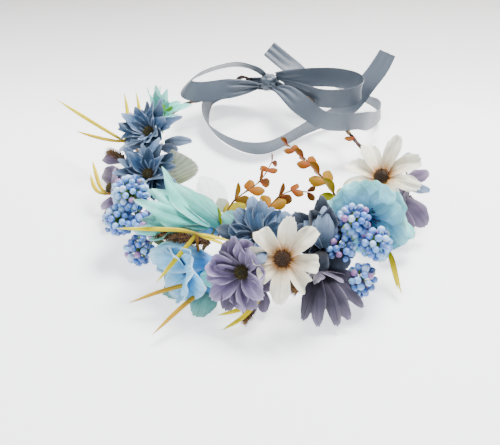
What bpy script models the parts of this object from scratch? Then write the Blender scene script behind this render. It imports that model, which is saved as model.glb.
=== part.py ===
"""Flower crown: a bent wire ring dressed with cloth flowers, berries, leaves and grass, tied with a ribbon.

Lengths are in millimetres until a mesh is made. The ring lies level: its centre is over the origin
and the surface that the crown lies on is z = 0. A place on the crown is given round the ring: its angle
from +X towards +Y in degrees, how far it is outside the ring's circle, and its height. A direction is
given as an azimuth, measured the same way, and an elevation above level.
"""

import math

import bmesh
import bpy
import numpy as np
from mathutils import Matrix, Quaternion, Vector
from mathutils.bvhtree import BVHTree

MM = 0.001

# The wire ring and its tape
RING_RADIUS = 88.0
RING_HEIGHT = 20.0
WIRE_DIAMETER = 3.0
WIRE_SIDES = 6
WIRE_STEP = 8.0
EYE_BORE = 8.0
EYE_END = 200.0
TAPE_THICKNESS = 0.6
TAPE_CLEARANCE = 0.4

# Blossoms
DAISY_RADIUS = 24.0
POPPY_RADIUS = 30.0
LILY_LENGTH = 48.0
CLOTH_THICKNESS = 0.9
STEM_DIAMETER = 2.0
STEM_CLEARANCE = 0.5
NECK_LENGTH = 3.0

# Berries, bristles, leaves and grass
BERRY_DIAMETER = 4.4
BERRY_SPACING = 4.9
BERRY_CORE = 0.7
SPIKE_RADIUS = 2.2
BRISTLE_LENGTH = 1.9
SPRIG_STEM_DIAMETER = 1.3
SPRIG_LEAF_LENGTH = 9.0
SPRIG_LEAF_WIDTH = 5.5
GRASS_WIDTH = 1.7
GRASS_THICKNESS = 0.9
LEAF_THICKNESS = 0.9
LEAF_ARCH = 3.0
GREEN_LEAF_LENGTH = 12.0
GREEN_LEAF_WIDTH = 6.5

# The ribbon
RIBBON_WIDTH = 15.0
RIBBON_THICKNESS = 0.7
GATHERED_WIDTH = 5.5
KNOT_SIZE = (8.0, 6.5, 7.5)
SLING_CLEARANCE = 2.0

# Room between neighbours
BETWEEN_ROOMS = 2.4
GAP = 0.35
FREE_SHARE = 0.75
SPIKE_ROOM = 4.5
LEAF_ROOM = 9.0

TABLE = 0.0
UP = np.array([0.0, 0.0, 1.0])

# The wire from the right eye, round the front, to the left eye: angle and distance outside the circle
WIRE_ROUTE = (
    (66, 1.5), (50, 0.5), (30, -8), (5, -6), (-25, -3), (-60, 0), (-90, 0),
    (-120, 0), (-150, 0), (-180, -4), (-210, 3), (-234, 18), (-247, 19), (-263, 25),
)
# The tape is wound over the wire between these angles
TAPE_FROM, TAPE_TO = -213, 14
TAPE_STATIONS = 30

# Each kind of blossom: its petals, the share of the radius where they part, the slope of a petal at
# its foot and at its tip, the squareness of its outline, and the radius and height of its centre
KINDS = {
    "daisy": {"petals": 8, "joined": 0.42, "slope": (12, 8), "square": 2.2, "button": (4.6, 3.2)},
    "droop": {"petals": 8, "joined": 0.42, "slope": (-5, -40), "square": 2.2, "button": (4.2, 3.0)},
    "poppy": {"petals": 6, "joined": 0.62, "slope": (58, 12), "square": 3.0, "button": (3.4, 5.0)},
    "round": {"petals": 5, "joined": 0.55, "slope": (35, 5), "square": 3.0, "button": (3.2, 3.4)},
    "bell": {"petals": 8, "joined": 0.42, "slope": (30, 52), "square": 2.2, "button": (3.4, 3.0)},
    "lily": {"petals": 6, "joined": 0.35, "slope": (66, 52), "square": 1.5, "button": (2.0, 5.0)},
}

# Where a petal's outline has its points, from one side at -1 to the other at 1
NARROW_PETAL_MARKS = (-1.0, -0.62, 0.0, 0.62)
WIDE_PETAL_MARKS = (-1.0, -0.75, -0.35, 0.0, 0.35, 0.75)

# Blossoms: name, kind, place, direction faced, radius, share of the room between neighbours, colours
DUSTY = (0.10, 0.19, 0.30)
LAVENDER = (0.35, 0.31, 0.45)
SLATE = (0.13, 0.13, 0.17)
CREAM = (0.87, 0.84, 0.72)
MINT = (0.36, 0.69, 0.62)
SKY = (0.27, 0.56, 0.78)
MAUVE = (0.24, 0.20, 0.29)
OLIVE = (0.12, 0.10, 0.03)
UMBER = (0.06, 0.03, 0.01)
NAVY = (0.02, 0.03, 0.08)
BLOSSOMS = (
    ("dusty_daisy_back_left", "daisy", (159, -6, 36), (225, 58), DAISY_RADIUS + 2, 13, DUSTY, OLIVE),
    ("dusty_daisy_left", "daisy", (-169, -14, 34), (240, 56), DAISY_RADIUS + 1, 12, DUSTY, OLIVE),
    ("mauve_daisy_left", "droop", (-176, 13, 17), (186, 5), DAISY_RADIUS - 7, 9, MAUVE, OLIVE),
    ("mint_bud_back_left", "lily", (147, 3, 31), (35, 58), LILY_LENGTH - 18, 9, MINT, OLIVE),
    ("mint_lily_left", "lily", (-117, -18, 34), (171, 6), LILY_LENGTH, 12, MINT, OLIVE),
    ("sky_blossom_front_left", "round", (-118, 8, 21), (225, 15), DAISY_RADIUS - 2, 12, SKY, OLIVE),
    ("lavender_daisy_front", "daisy", (-97, 8, 30), (240, 38), DAISY_RADIUS, 13, LAVENDER, OLIVE),
    ("dusty_daisy_front", "daisy", (-92, -13, 39), (262, 50), DAISY_RADIUS - 2, 11, DUSTY, OLIVE),
    ("white_daisy_front", "daisy", (-84, 8, 41), (260, 44), DAISY_RADIUS + 1, 13, CREAM, UMBER),
    ("slate_daisy_front", "bell", (-72, 9, 27), (285, -34), DAISY_RADIUS + 1, 13, SLATE, OLIVE),
    ("dusty_daisy_front_right", "daisy", (-65, -9, 35), (275, 38), DAISY_RADIUS - 1, 12, DUSTY, OLIVE),
    ("sky_poppy_right", "poppy", (-40, -8, 36), (262, 48), POPPY_RADIUS, 15, SKY, NAVY),
    ("white_daisy_right", "daisy", (-17, -7, 40), (235, 66), DAISY_RADIUS + 2, 14, CREAM, UMBER),
    ("mauve_daisy_right", "droop", (-13, 9, 19), (-15, 5), DAISY_RADIUS - 3, 12, MAUVE, OLIVE),
)

# Berry clusters: name, place, outer radius and how much each is stretched upwards
BERRY_CLUSTERS = (
    ("berries_left_top", (-156, 2, 38), 10.0, 1.0),
    ("berries_left_outer", (-152, 13, 26), 9.0, 1.0),
    ("berries_left_inner", (-143, 0, 26), 9.0, 1.0),
    ("berries_left_low", (-142, 9, 12), 8.5, 1.1),
    ("berries_right_top", (-53, 3, 48), 8.5, 1.0),
    ("berries_right_inner", (-61, 3, 33), 9.0, 1.0),
    ("berries_right_outer", (-51, 14, 37), 9.0, 1.0),
    ("berries_right_low", (-58, 19, 18), 8.5, 1.3),
)
BERRY_BLUE = (0.15, 0.30, 0.62)

# Bristly spikes: name, place of the foot and of the tip, how fat, rows of bristles
SPIKES = (
    ("bristle_spike_front", (-109, 1, 37), (-133, 12, 37), 0.9, 15),
    ("bristle_pod_left", (168, 10, 21), (164, 26, 19), 1.3, 9),
    ("bristle_tuft_back_left", (152, 10, 26), (150, 24, 31), 0.9, 8),
)
SPIKE_POINTS = 6
RUST = (0.07, 0.02, 0.01)

# Serrated leaf: place of its foot and its tip, its width
SERRATED_LEAF = ((-165, -32, 27), (172, -30, 37), 22.0)
LEAF_TEETH = 5

# Grass tufts: each has the place of its foot, and blades whose points are steps in mm from that foot
GRASS = (
    ("grass_back_left", (162, 17, 29), (
        ((-14, 7, 4), (-30, 17, 9), (-50, 27, 14)),
        ((-12, 4, -1), (-24, 8, -3), (-36, 13, -5)),
        ((-2, 9, 8), (-3, 18, 14), (0, 26, 18)),
        ((4, 8, 8), (6, 16, 13), (8, 23, 16)),
    )),
    ("grass_left", (-172, 20, 16), (
        ((-5, 6, 2), (-9, 16, 4), (-13, 28, 6)),
        ((-6, 2, 1), (-10, 8, 2), (-13, 17, 3)),
    )),
    ("grass_front_left", (-117, 4, 43), (
        ((-10, 4, 2), (-28, 6, 2), (-48, 10, 1)),
        ((-5, -4, -4), (-14, -11, -12), (-24, -18, -22)),
    )),
    ("grass_front", (-109, 16, 12), (
        ((-14, -2, 2), (-30, -6, 0), (-46, -12, -4)),
        ((-8, -6, 0), (-20, -15, -2), (-32, -26, -6)),
    )),
    ("grass_front_stub", (-91, 25, 11), (
        ((-8, -2, 1), (-17, -3, -1), (-26, -3, -3)),
        ((-7, -4, -1), (-14, -7, -3), (-22, -10, -5)),
    )),
    ("grass_right", (-41, 15, 20), (
        ((3, -6, -3), (5, -13, -9), (6, -22, -15)),
        ((5, -4, -1), (9, -10, -6), (12, -17, -13)),
    )),
)
TUFT_KNOT_RADIUS = 1.6
GRASS_ABOVE_TABLE = 3.5
STRAW = (0.62, 0.52, 0.06)

# Leafy sprigs inside the ring: name, foot to tip as places in the ring, leaf pairs
SPRIGS = (
    ("eucalyptus_left", ((-112, -16, 30), (-114, -40, 36), (-95, -62, 39), (-40, -80, 38)), 5),
    ("eucalyptus_middle", ((-88, -16, 30), (-85, -40, 37), (-66, -48, 40), (-54, -42, 40)), 4),
    ("eucalyptus_right", ((-46, -14, 30), (-40, -30, 38), (-28, -52, 44), (12, -71, 46)), 6),
)
GREEN_SPRIG = ("green_sprig_back_left", ((148, -22, 30), (146, -25, 38), (142, -24, 46), (139, -22, 52)), 1)
WIRE_LEAF = ((33, -6, 22), (35, -16, 24))
EUCALYPTUS = (0.55, 0.36, 0.03)
LEAF_GREEN = (0.16, 0.38, 0.04)

# The ribbon's stretches. Each point is a place, the share of the full width, and the lean of the width
# from level: 0 lies flat, 90 stands on edge
KNOT_PLACE = (86.5, 25.5, 25.5)
RIBBON_RUNS = (
    ("ribbon_left_tail", (
        (87, 25, 20, 0.3, 0), (96, 30, 17, 0.7, 60), (107, 35, 12, 1, 90), (112, 26, 9, 1, 105),
        (116, 8, 8, 1, 112), (116, -12, 8, 1, 115), (107, -32, 8, 1, 112), (90, -38, 8, 1, 106),
        (76, -29, 8, 1, 104), (65, -6, 9, 1, 100), (58, 14, 11, 1, 90), (54, 31, 15, 1, 60),
        (52, 46, 28, 1, 25), (51, 58, 37, 1, 15), (51, 70, 46, 0.9, 10),
    )),
    ("ribbon_right_tail", (
        (85, 24, 22, 0.3, 0), (79, 6, 31, 0.75, 30), (70, -8, 32, 1, 45), (60, -15, 31, 1, 65),
        (49, -18, 31, 1, 85), (40, -10, 31, 1, 92), (37, 4, 29, 1, 95), (39, 18, 21, 1, 95),
        (42, 34, 16, 1, 92), (46, 46, 14, 1, 75), (52, 47, 15, 1, 55), (61, 39, 22, 1, 35),
        (71, 32, 29, 1, 5), (79, 35, 36, 1, -20), (87, 42, 46, 0.9, -32),
    )),
    ("ribbon_left_loop", (
        (88, 29, 29, 0.35, 60), (92, 30, 35, 0.8, 48), (99, 33, 38, 1, 44), (108, 32, 37, 1, 44),
        (116, 30, 34, 1, 46), (121, 22, 32, 1, 50), (117, 14, 31, 1, 52), (105, 12, 30, 1, 55),
        (96, 15, 28, 0.7, 70), (91, 19, 26, 0.35, 85),
    )),
    ("ribbon_right_loop", (
        (84, 29, 30, 0.35, 80), (78, 23, 33, 0.8, 80), (69, 23, 36, 1, 80), (60, 27, 38, 1, 75),
        (52, 30, 38, 1, 80), (48, 25, 36, 1, 90), (50, 14, 34, 1, 95), (60, 3, 33, 1, 95),
        (72, 9, 32, 0.8, 90), (80, 17, 30, 0.35, 90),
    )),
)
RIBBON_BLUE = (0.16, 0.20, 0.25)


# Places and curves

def place(angle, out, height):
    """A point given round the ring."""
    turn = math.radians(angle)
    radius = RING_RADIUS + out
    return np.array([radius * math.cos(turn), radius * math.sin(turn), height])


def towards(azimuth, elevation):
    """A unit direction."""
    turn, rise = math.radians(azimuth), math.radians(elevation)
    return np.array([math.cos(rise) * math.cos(turn), math.cos(rise) * math.sin(turn), math.sin(rise)])


def unit(vectors):
    """Vectors, or one vector, at a length of 1."""
    return vectors / np.maximum(np.linalg.norm(vectors, axis=-1, keepdims=True), 1e-9)


def smooth(points, count):
    """A Catmull-Rom curve through rows of numbers, as count rows at steady distances along it."""
    rows = np.asarray(points, float)
    ends = np.vstack([2 * rows[0] - rows[1], rows, 2 * rows[-1] - rows[-2]])
    t = np.linspace(0, 1, 16, endpoint=False)[:, None]
    spans = []
    for a, b, c, d in zip(ends, ends[1:], ends[2:], ends[3:]):
        bend = (2 * a - 5 * b + 4 * c - d) * t**2 + (3 * b - a - 3 * c + d) * t**3
        spans.append(0.5 * (2 * b + (c - a) * t + bend))
    dense = np.vstack(spans + [rows[-1:]])
    along = np.concatenate([[0], np.cumsum(np.linalg.norm(np.diff(dense[:, :3], axis=0), axis=1))])
    even = np.linspace(0, along[-1], count)
    return np.column_stack([np.interp(even, along, column) for column in dense.T])


def directions(route):
    """The unit tangent at each point of a route."""
    return unit(np.gradient(route, axis=0))


# Meshes

def grid_faces(rows, columns, wrap_rows=False):
    """Quads of a grid of points that closes round its columns, and round its rows too if asked."""
    r, c = np.meshgrid(np.arange(rows if wrap_rows else rows - 1), np.arange(columns), indexing="ij")
    after_r, after_c = (r + 1) % rows, (c + 1) % columns
    here, there = r * columns, after_r * columns
    corners = np.stack([here + c, here + after_c, there + after_c, there + c], -1)
    return [tuple(map(int, face)) for face in corners.reshape(-1, 4)]


def lofted(rings):
    """Points and faces of a solid through like rings, its two ends capped."""
    rings = np.asarray(rings, float)
    rows, columns = rings.shape[:2]
    last = (rows - 1) * columns
    caps = [tuple(range(columns)), tuple(range(last, last + columns))]
    return rings.reshape(-1, 3), grid_faces(rows, columns) + caps


def together(shapes):
    """Several shapes' points and faces as one."""
    points, faces, count = [], [], 0
    for some, their_faces in shapes:
        points.append(some)
        faces += [tuple(index + count for index in face) for face in their_faces]
        count += len(some)
    return np.vstack(points), faces


def across(tangents, up=UP):
    """Two unit directions square to each tangent: a level one that never flips, and one square to both."""
    level = unit(np.cross(up, tangents) + 1e-6)
    flips = np.where((level[1:] * level[:-1]).sum(axis=-1) < 0, -1.0, 1.0)
    level[1:] *= np.cumprod(flips, axis=0)[:, None]
    return level, np.cross(tangents, level)


def rod(route, radii, sides=6):
    """A round rod along a route."""
    route = np.asarray(route, float)
    level, rising = across(directions(route))
    turn = np.arange(sides) * 2 * math.pi / sides
    radii = np.broadcast_to(radii, len(route))[:, None, None]
    spread = np.cos(turn)[:, None] * level[:, None] + np.sin(turn)[:, None] * rising[:, None]
    rings = route[:, None] + radii * spread
    return lofted(rings)


def flat_blade(route, half_widths, thickness, wide):
    """A blade with a thin diamond section along a route. wide is the direction of its width."""
    route = np.asarray(route, float)
    tangents = directions(route)
    wide = unit(wide - (wide * tangents).sum(axis=1, keepdims=True) * tangents)
    flat = np.cross(tangents, wide)
    half = np.asarray(half_widths, float)[:, None]
    thin = np.minimum(thickness / 2, half)
    corners = (route + wide * half, route + flat * thin, route - wide * half, route - flat * thin)
    return lofted(np.stack(corners, 1))


def globe(centre, radius, stretch=1.0, around=6, rows=4):
    """A ball, stretched along z by stretch."""
    heights = np.cos(np.linspace(0, math.pi, rows + 1))[1:-1]
    turn = np.arange(around) * 2 * math.pi / around
    rings = [np.column_stack([np.cos(turn) * s, np.sin(turn) * s, np.full(around, h * stretch)])
             for h, s in zip(heights, np.sqrt(1 - heights**2))]
    poles = np.array([[0, 0, stretch], [0, 0, -stretch]])
    points = np.vstack(rings + [poles])
    top, bottom = (rows - 1) * around, (rows - 1) * around + 1
    last = (rows - 2) * around
    faces = grid_faces(rows - 1, around)
    faces += [(top, c, (c + 1) % around) for c in range(around)]
    faces += [(bottom, last + (c + 1) % around, last + c) for c in range(around)]
    return np.asarray(centre) + points * radius, faces


# The Blender scene

def clear_scene():
    for old in list(bpy.data.objects):
        bpy.data.objects.remove(old, do_unlink=True)


def material(name, colour, roughness, metallic=0.0):
    made = bpy.data.materials.new(name)
    made.use_nodes = True
    shader = made.node_tree.nodes["Principled BSDF"]
    shader.inputs["Base Color"].default_value = (*colour, 1)
    shader.inputs["Roughness"].default_value = roughness
    shader.inputs["Metallic"].default_value = metallic
    return made


class Crown:
    """The scene's root empty, the finish of each object, and every surface made so far."""

    def __init__(self):
        self.root = bpy.data.objects.new("flower_crown", None)
        bpy.context.scene.collection.objects.link(self.root)
        self.points = []
        self.faces = []
        self.count = 0

    def add(self, name, shape, origin, finish, facing=None, extras=None):
        """Makes an object with its origin at a point and its z axis along facing, and joins extras to it."""
        frame = Matrix.Translation(Vector(origin * MM))
        if facing is not None:
            frame = frame @ Vector(facing).to_track_quat("Z", "Y").to_matrix().to_4x4()
        node = self.make_object(name, shape, frame)
        node.data.materials.append(finish)
        if extras is not None:
            helper = self.make_object(name + "_extras", extras, frame)
            helper.hide_render = True
            helper.display_type = "WIRE"
            union = node.modifiers.new("joined", "BOOLEAN")
            union.operation = "UNION"
            union.object = helper
            union.use_self = True
        return node

    def make_object(self, name, shape, frame):
        points, faces = shape
        back = np.array(frame.inverted())
        local = (points * MM) @ back[:3, :3].T + back[:3, 3]
        mesh = bpy.data.meshes.new(name)
        mesh.from_pydata(local.tolist(), [], faces)
        work = bmesh.new()
        work.from_mesh(mesh)
        bmesh.ops.recalc_face_normals(work, faces=work.faces)
        if work.calc_volume(signed=True) < 0:
            bmesh.ops.reverse_faces(work, faces=work.faces)
        bmesh.ops.triangulate(work, faces=[face for face in work.faces if len(face.verts) > 3])
        work.to_mesh(mesh)
        work.free()
        mesh.shade_smooth()
        mesh.set_sharp_from_angle(angle=math.radians(40))
        made = bpy.data.objects.new(name, mesh)
        bpy.context.scene.collection.objects.link(made)
        made.parent = self.root
        made.matrix_world = frame
        self.points += points.tolist()
        self.faces += [tuple(index + self.count for index in face) for face in faces]
        self.count += len(points)
        return made

    def set_down(self):
        """Lowers everything until its lowest point is on the table."""
        self.root.location.z = (TABLE - min(point[2] for point in self.points)) * MM

    def surfaces(self):
        """A search tree of every surface so far."""
        return BVHTree.FromPolygons(self.points, self.faces)


def clear_run(tree, samples, clearance):
    """The longest run of stations whose samples, shaped (stations, samples, 3), all keep the clearance."""
    clear = [all(tree.find_nearest(Vector(p))[3] > c for p, c in zip(station, limits))
             for station, limits in zip(samples, np.broadcast_to(clearance, samples.shape[:2]))]
    best = (0, 0)
    start = None
    for index, is_clear in enumerate(clear + [False]):
        if is_clear and start is None:
            start = index
        if not is_clear and start is not None:
            best = max(best, (start, index), key=lambda run: run[1] - run[0])
            start = None
    return slice(*best)


# Room for each blossom and cluster

class Room:
    """The space that one piece may fill: a middle point, and flat walls between it and its neighbours."""

    def __init__(self, start, end, share):
        self.line = np.array([start, end])
        self.share = share
        self.middle = self.line.mean(axis=0)
        self.at = []
        self.inward = []

    def wall(self, point, inward):
        self.at.append(point)
        self.inward.append(inward)

    def fit(self, points, margin=0.0):
        """Draws points in towards the middle where they near a wall, so that none passes it."""
        inward = np.array(self.inward)
        depth = ((self.middle - np.array(self.at)) * inward).sum(axis=1) - margin
        offset = points - self.middle
        reach = np.maximum(np.linalg.norm(offset, axis=1), 1e-9)
        way = offset / reach[:, None]
        closing = -way @ inward.T
        limit = np.where(closing > 1e-6, depth / np.maximum(closing, 1e-6), 1e6).min(axis=1)
        share = reach / limit
        bend = 1 - FREE_SHARE
        eased = np.where(share > FREE_SHARE, 1 - bend * np.exp((FREE_SHARE - share) / bend), share)
        return self.middle + way * (eased * limit)[:, None]


def closest(first, second):
    """The nearest points of two straight lines."""
    steps = np.linspace(0, 1, 41)[:, None]
    p = first[0] + (first[1] - first[0]) * steps
    q = second[0] + (second[1] - second[0]) * steps
    i, j = divmod(int(np.linalg.norm(p[:, None] - q[None], axis=2).argmin()), len(steps))
    return p[i], q[j]


def part_rooms(rooms, wire):
    """Puts a wall between each two rooms, and between each room and the wire and the table."""
    names = list(rooms)
    for index, name in enumerate(names):
        room = rooms[name]
        for other_name in names[index + 1:]:
            other = rooms[other_name]
            p, q = closest(room.line, other.line)
            apart = np.linalg.norm(q - p)
            way = (q - p) / apart
            share = (apart**2 + room.share**2 - other.share**2) / (2 * apart)
            room.wall(p + way * (share - BETWEEN_ROOMS / 2), -way)
            other.wall(p + way * (share + BETWEEN_ROOMS / 2), way)
        room.wall(np.array([0, 0, TABLE]), UP)
        near = wire[np.linalg.norm(wire - room.middle, axis=1).argmin()]
        radial = unit(near * [1, 1, 0])
        away = room.middle - near
        inward = unit(radial * max(away @ radial, 0) + UP * away[2])
        room.wall(near + inward * (sleeve_radius() + GAP), inward)


# The ring

def knot_centre():
    return place(*KNOT_PLACE)


def eye_points(end, last):
    """The points of an eye, bent up from the wire's end in the upright plane towards the knot."""
    forward = unit((knot_centre() - end) * [1, 1, 0])
    radius = (EYE_BORE + WIRE_DIAMETER) / 2
    turn = np.radians(np.linspace(-60, EYE_END, last))[:, None]
    return end + UP * radius + forward * radius * np.cos(turn) + UP * radius * np.sin(turn)


def wire_line():
    """The wire's centre line, eyes included."""
    ring = np.array([place(angle, out, RING_HEIGHT) for angle, out in WIRE_ROUTE])
    route = np.vstack([eye_points(ring[0], 8)[::-1], ring, eye_points(ring[-1], 8)])
    length = np.linalg.norm(np.diff(route, axis=0), axis=1).sum()
    return route, length


def make_wire(crown):
    route, length = wire_line()
    eye = smooth(route[:8], 16)
    other_eye = smooth(route[-8:], 16)
    line = smooth(route, int(length / WIRE_STEP * 2))
    first = np.linalg.norm(line - eye[-1], axis=1).argmin()
    last = np.linalg.norm(line - other_eye[0], axis=1).argmin()
    middle = line[first:last]
    tidy = np.vstack([eye, middle[2:-2:2], other_eye])
    shape = rod(tidy, WIRE_DIAMETER / 2, WIRE_SIDES)
    crown.add("base_wire", shape, np.zeros(3), material("bark_wire", (0.06, 0.03, 0.02), 0.7))
    return smooth(np.array([place(a, out, RING_HEIGHT) for a, out in WIRE_ROUTE]), 400)


def sleeve_radius():
    """A tape sleeve's outside radius, whose flats clear the wire inside."""
    return sleeve_bore() + TAPE_THICKNESS


def sleeve_bore():
    return (WIRE_DIAMETER / 2 + TAPE_CLEARANCE) / math.cos(math.pi / WIRE_SIDES)


def make_tape(crown, wire):
    """The floral tape, as one hollow sleeve round the dressed part of the wire."""
    angles = np.degrees(np.unwrap(np.arctan2(wire[:, 1], wire[:, 0])))
    angles += 360 * round((WIRE_ROUTE[0][0] - angles[0]) / 360)
    inside = wire[(angles > TAPE_FROM) & (angles < TAPE_TO)]
    line = inside[np.linspace(0, len(inside) - 1, TAPE_STATIONS).astype(int)]
    level, rising = across(directions(line))
    turn = np.arange(WIRE_SIDES) * 2 * math.pi / WIRE_SIDES
    round_it = np.cos(turn)[:, None] * level[:, None] + np.sin(turn)[:, None] * rising[:, None]
    outer = line[:, None] + sleeve_radius() * round_it
    bore = line[:, None] + sleeve_bore() * round_it
    rings = np.vstack([outer, bore[::-1]])
    shape = rings.reshape(-1, 3), grid_faces(len(rings), WIRE_SIDES, wrap_rows=True)
    finish = material("floral_tape", (0.05, 0.08, 0.03), 0.85)
    crown.add("floral_tape", shape, np.array([0, 0, RING_HEIGHT]), finish)


# Blossoms

def petal_profile(kind, radius):
    """Distance along a petal from the middle, and the distance out and the height there."""
    foot, tip = np.radians(KINDS[kind]["slope"])
    along = np.linspace(0, radius * 1.15, 40)
    slope = foot + (tip - foot) * np.minimum(along / radius, 1)
    step = along[1]
    hole = STEM_DIAMETER / 2 + STEM_CLEARANCE
    out = hole + np.concatenate([[0], np.cumsum(np.cos(slope[:-1])) * step])
    height = np.concatenate([[0], np.cumsum(np.sin(slope[:-1])) * step])
    return along, out, height


def petal_sheet(kind, radius, rng):
    """A whorl of petals facing z, as a closed sheet: a turned profile with a petalled outline."""
    spec = KINDS[kind]
    petals = spec["petals"]
    marks = np.array(NARROW_PETAL_MARKS if petals > 6 else WIDE_PETAL_MARKS)
    turn = (np.arange(petals)[:, None] + marks / 2).ravel() * 2 * math.pi / petals
    lobe = np.tile((1 - np.abs(marks) ** spec["square"]) ** (1 / spec["square"]), petals)
    lengths = np.repeat(radius * (1 + 0.08 * rng.uniform(-1, 1, petals)), len(marks))
    edge = radius * spec["joined"] + (lengths - radius * spec["joined"]) * lobe
    along, out, height = petal_profile(kind, radius)
    rows = 4 if kind in ("lily", "poppy") else 3
    reach = np.linspace(0, 1, rows)[:, None] * edge
    distance = np.interp(reach, along, out)
    rise = np.interp(reach, along, height)
    middle = np.stack([distance * np.cos(turn), distance * np.sin(turn), rise], -1)
    outwards = np.gradient(middle, axis=0)
    sideways = np.roll(middle, -1, axis=1) - np.roll(middle, 1, axis=1)
    normal = unit(np.cross(outwards, sideways)) * CLOTH_THICKNESS / 2
    rings = np.vstack([middle + normal, (middle - normal)[::-1]])
    return rings.reshape(-1, 3), grid_faces(len(rings), len(turn), wrap_rows=True)


def button_base(kind, radius):
    """The height at which a blossom's centre clears the petals round it."""
    along, out, height = petal_profile(kind, radius)
    button = KINDS[kind]["button"][0]
    there = np.interp(button + CLOTH_THICKNESS + STEM_CLEARANCE, out, height)
    return max(there, 0) + CLOTH_THICKNESS / 2 + STEM_CLEARANCE


def blossom_heart(kind, radius, foot):
    """Centre, neck and stem, down to foot, in the blossom's own frame, facing z."""
    button, tall = KINDS[kind]["button"]
    base = button_base(kind, radius)
    neck = STEM_DIAMETER / 2
    elbow = np.array([0, 0, -NECK_LENGTH])
    stations = [
        (base + tall, 0.3 * button), (base + 0.8 * tall, 0.75 * button), (base + 0.35 * tall, button),
        (base, 0.85 * button), (base, neck), (-0.5 * NECK_LENGTH, neck),
    ]
    turn = np.arange(8) * math.pi / 4
    circle = np.column_stack([np.cos(turn), np.sin(turn), np.zeros(8)])
    rings = [circle * r + [0, 0, z] for z, r in stations]
    bent = Vector((0, 0, -1)).rotation_difference(Vector(foot - elbow))
    half_bent = Quaternion().slerp(bent, 0.5)
    rings.append(elbow + neck * circle @ np.array(half_bent.to_matrix()).T)
    rings.append(foot + neck * circle @ np.array(bent.to_matrix()).T)
    return lofted(rings)


def make_blossoms(crown, rooms, wire):
    for index, (name, kind, at, facing, radius, _, petal_colour, heart_colour) in enumerate(BLOSSOMS):
        rng = np.random.default_rng(index)
        centre, forward = place(*at), towards(*facing)
        turned = np.array(Vector(forward).to_track_quat("Z", "Y").to_matrix())
        nearest = wire[np.linalg.norm(wire - centre, axis=1).argmin()]
        foot = (nearest - centre) @ turned
        room = rooms[name]
        cloth = material(name + "_cloth", petal_colour, 0.8)
        points, faces = petal_sheet(kind, radius, rng)
        crown.add(name, (room.fit(centre + points @ turned.T), faces), centre, cloth, forward)
        points, faces = blossom_heart(kind, radius, foot)
        heart = material(name + "_heart", heart_colour, 0.9)
        crown.add(name + "_centre", (room.fit(centre + points @ turned.T), faces), centre, heart, forward)


# Berries, bristles and the serrated leaf

def fibonacci(count):
    """Points spread evenly over a ball of radius 1."""
    z = 1 - (2 * np.arange(count) + 1) / count
    turn = np.arange(count) * math.pi * (3 - math.sqrt(5))
    ring = np.sqrt(1 - z * z)
    return np.column_stack([ring * np.cos(turn), ring * np.sin(turn), z])


def ball_directions():
    """Evenly spread unit directions and the triangles between them, from a subdivided icosahedron."""
    work = bmesh.new()
    bmesh.ops.create_icosphere(work, subdivisions=3, radius=1)
    points = np.array([vert.co for vert in work.verts])
    faces = [tuple(vert.index for vert in face.verts) for face in work.faces]
    work.free()
    return unit(points), faces


def make_berries(crown, rooms):
    """Clusters whose surface, seen from the middle, is the farthest berry's skin in each direction."""
    finish = material("berry_skin", BERRY_BLUE, 0.45)
    rays, faces = ball_directions()
    for name, at, outer, stretch in BERRY_CLUSTERS:
        centre = place(*at)
        radius = BERRY_DIAMETER / 2
        shell = outer - radius
        spots = fibonacci(round(4 * math.pi * shell**2 / (BERRY_SPACING**2 * math.sin(math.radians(60)))))
        spots = spots * [1, 1, stretch] * shell
        ahead = rays @ spots.T
        inside = radius**2 - (spots**2).sum(axis=1) + ahead**2
        skin = np.where(inside > 0, ahead + np.sqrt(np.maximum(inside, 0)), shell * BERRY_CORE).max(axis=1)
        points = rooms[name].fit(centre + rays * skin[:, None])
        crown.add(name, (points, faces), centre, finish)


def make_spikes(crown, rooms):
    """Spindles with star-shaped sections, each turned half a point from the last, as bristles."""
    finish = material("bristles", RUST, 0.95)
    for name, foot, tip, fat, rings in SPIKES:
        start, end = place(*foot), place(*tip)
        share = np.linspace(0, 1, rings)
        body = SPIKE_RADIUS * fat * np.sqrt(np.clip(1 - (2 * share - 1) ** 4, 0.15, 1))
        level, rising = (side[0] for side in across(unit(end - start)[None]))
        points = 2 * SPIKE_POINTS
        turn = (np.arange(points) + np.arange(rings)[:, None] % 2) * 2 * math.pi / points
        bristle = np.where(np.arange(points) % 2, 0.0, BRISTLE_LENGTH)
        radius = body[:, None] + bristle * np.sqrt(body / body.max())[:, None]
        spread = np.cos(turn)[..., None] * level + np.sin(turn)[..., None] * rising
        sections = (start + (end - start) * share[:, None])[:, None] + radius[..., None] * spread
        shape_points, faces = lofted(sections)
        crown.add(name, (rooms[name].fit(shape_points), faces), start, finish)


def make_serrated_leaf(crown, room):
    foot, tip, width = SERRATED_LEAF
    start, end = place(*foot), place(*tip)
    share = np.linspace(0, 1, 2 * LEAF_TEETH + 2)
    route = start + (end - start) * share[:, None] + UP * LEAF_ARCH * np.sin(share * math.pi)[:, None]
    tooth = np.where(np.arange(len(share)) % 2, 1.0, 0.86)
    half = np.maximum(width / 2 * np.sin(share**0.8 * math.pi) * tooth, 0.5)
    points, faces = flat_blade(route, half, LEAF_THICKNESS, np.array([1.0, 0.2, 0.5]))
    finish = material("leaf_cloth", (0.28, 0.33, 0.26), 0.8)
    crown.add("serrated_leaf", (room.fit(points), faces), start, finish)


# Ribbon

def band(rows):
    """The four corners of a ribbon's section at each row of place, width share and lean."""
    route = rows[:, :3]
    tangents = directions(route)
    level, rising = across(tangents)
    lean = np.radians(rows[:, 4:5])
    wide = np.cos(lean) * level + np.sin(lean) * rising
    flat = np.cross(tangents, wide) * RIBBON_THICKNESS / 2
    half = wide * np.maximum(rows[:, 3:4] * RIBBON_WIDTH / 2, GATHERED_WIDTH / 2)
    return np.stack([route + half + flat, route + half - flat, route - half - flat, route - half + flat], 1)


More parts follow.
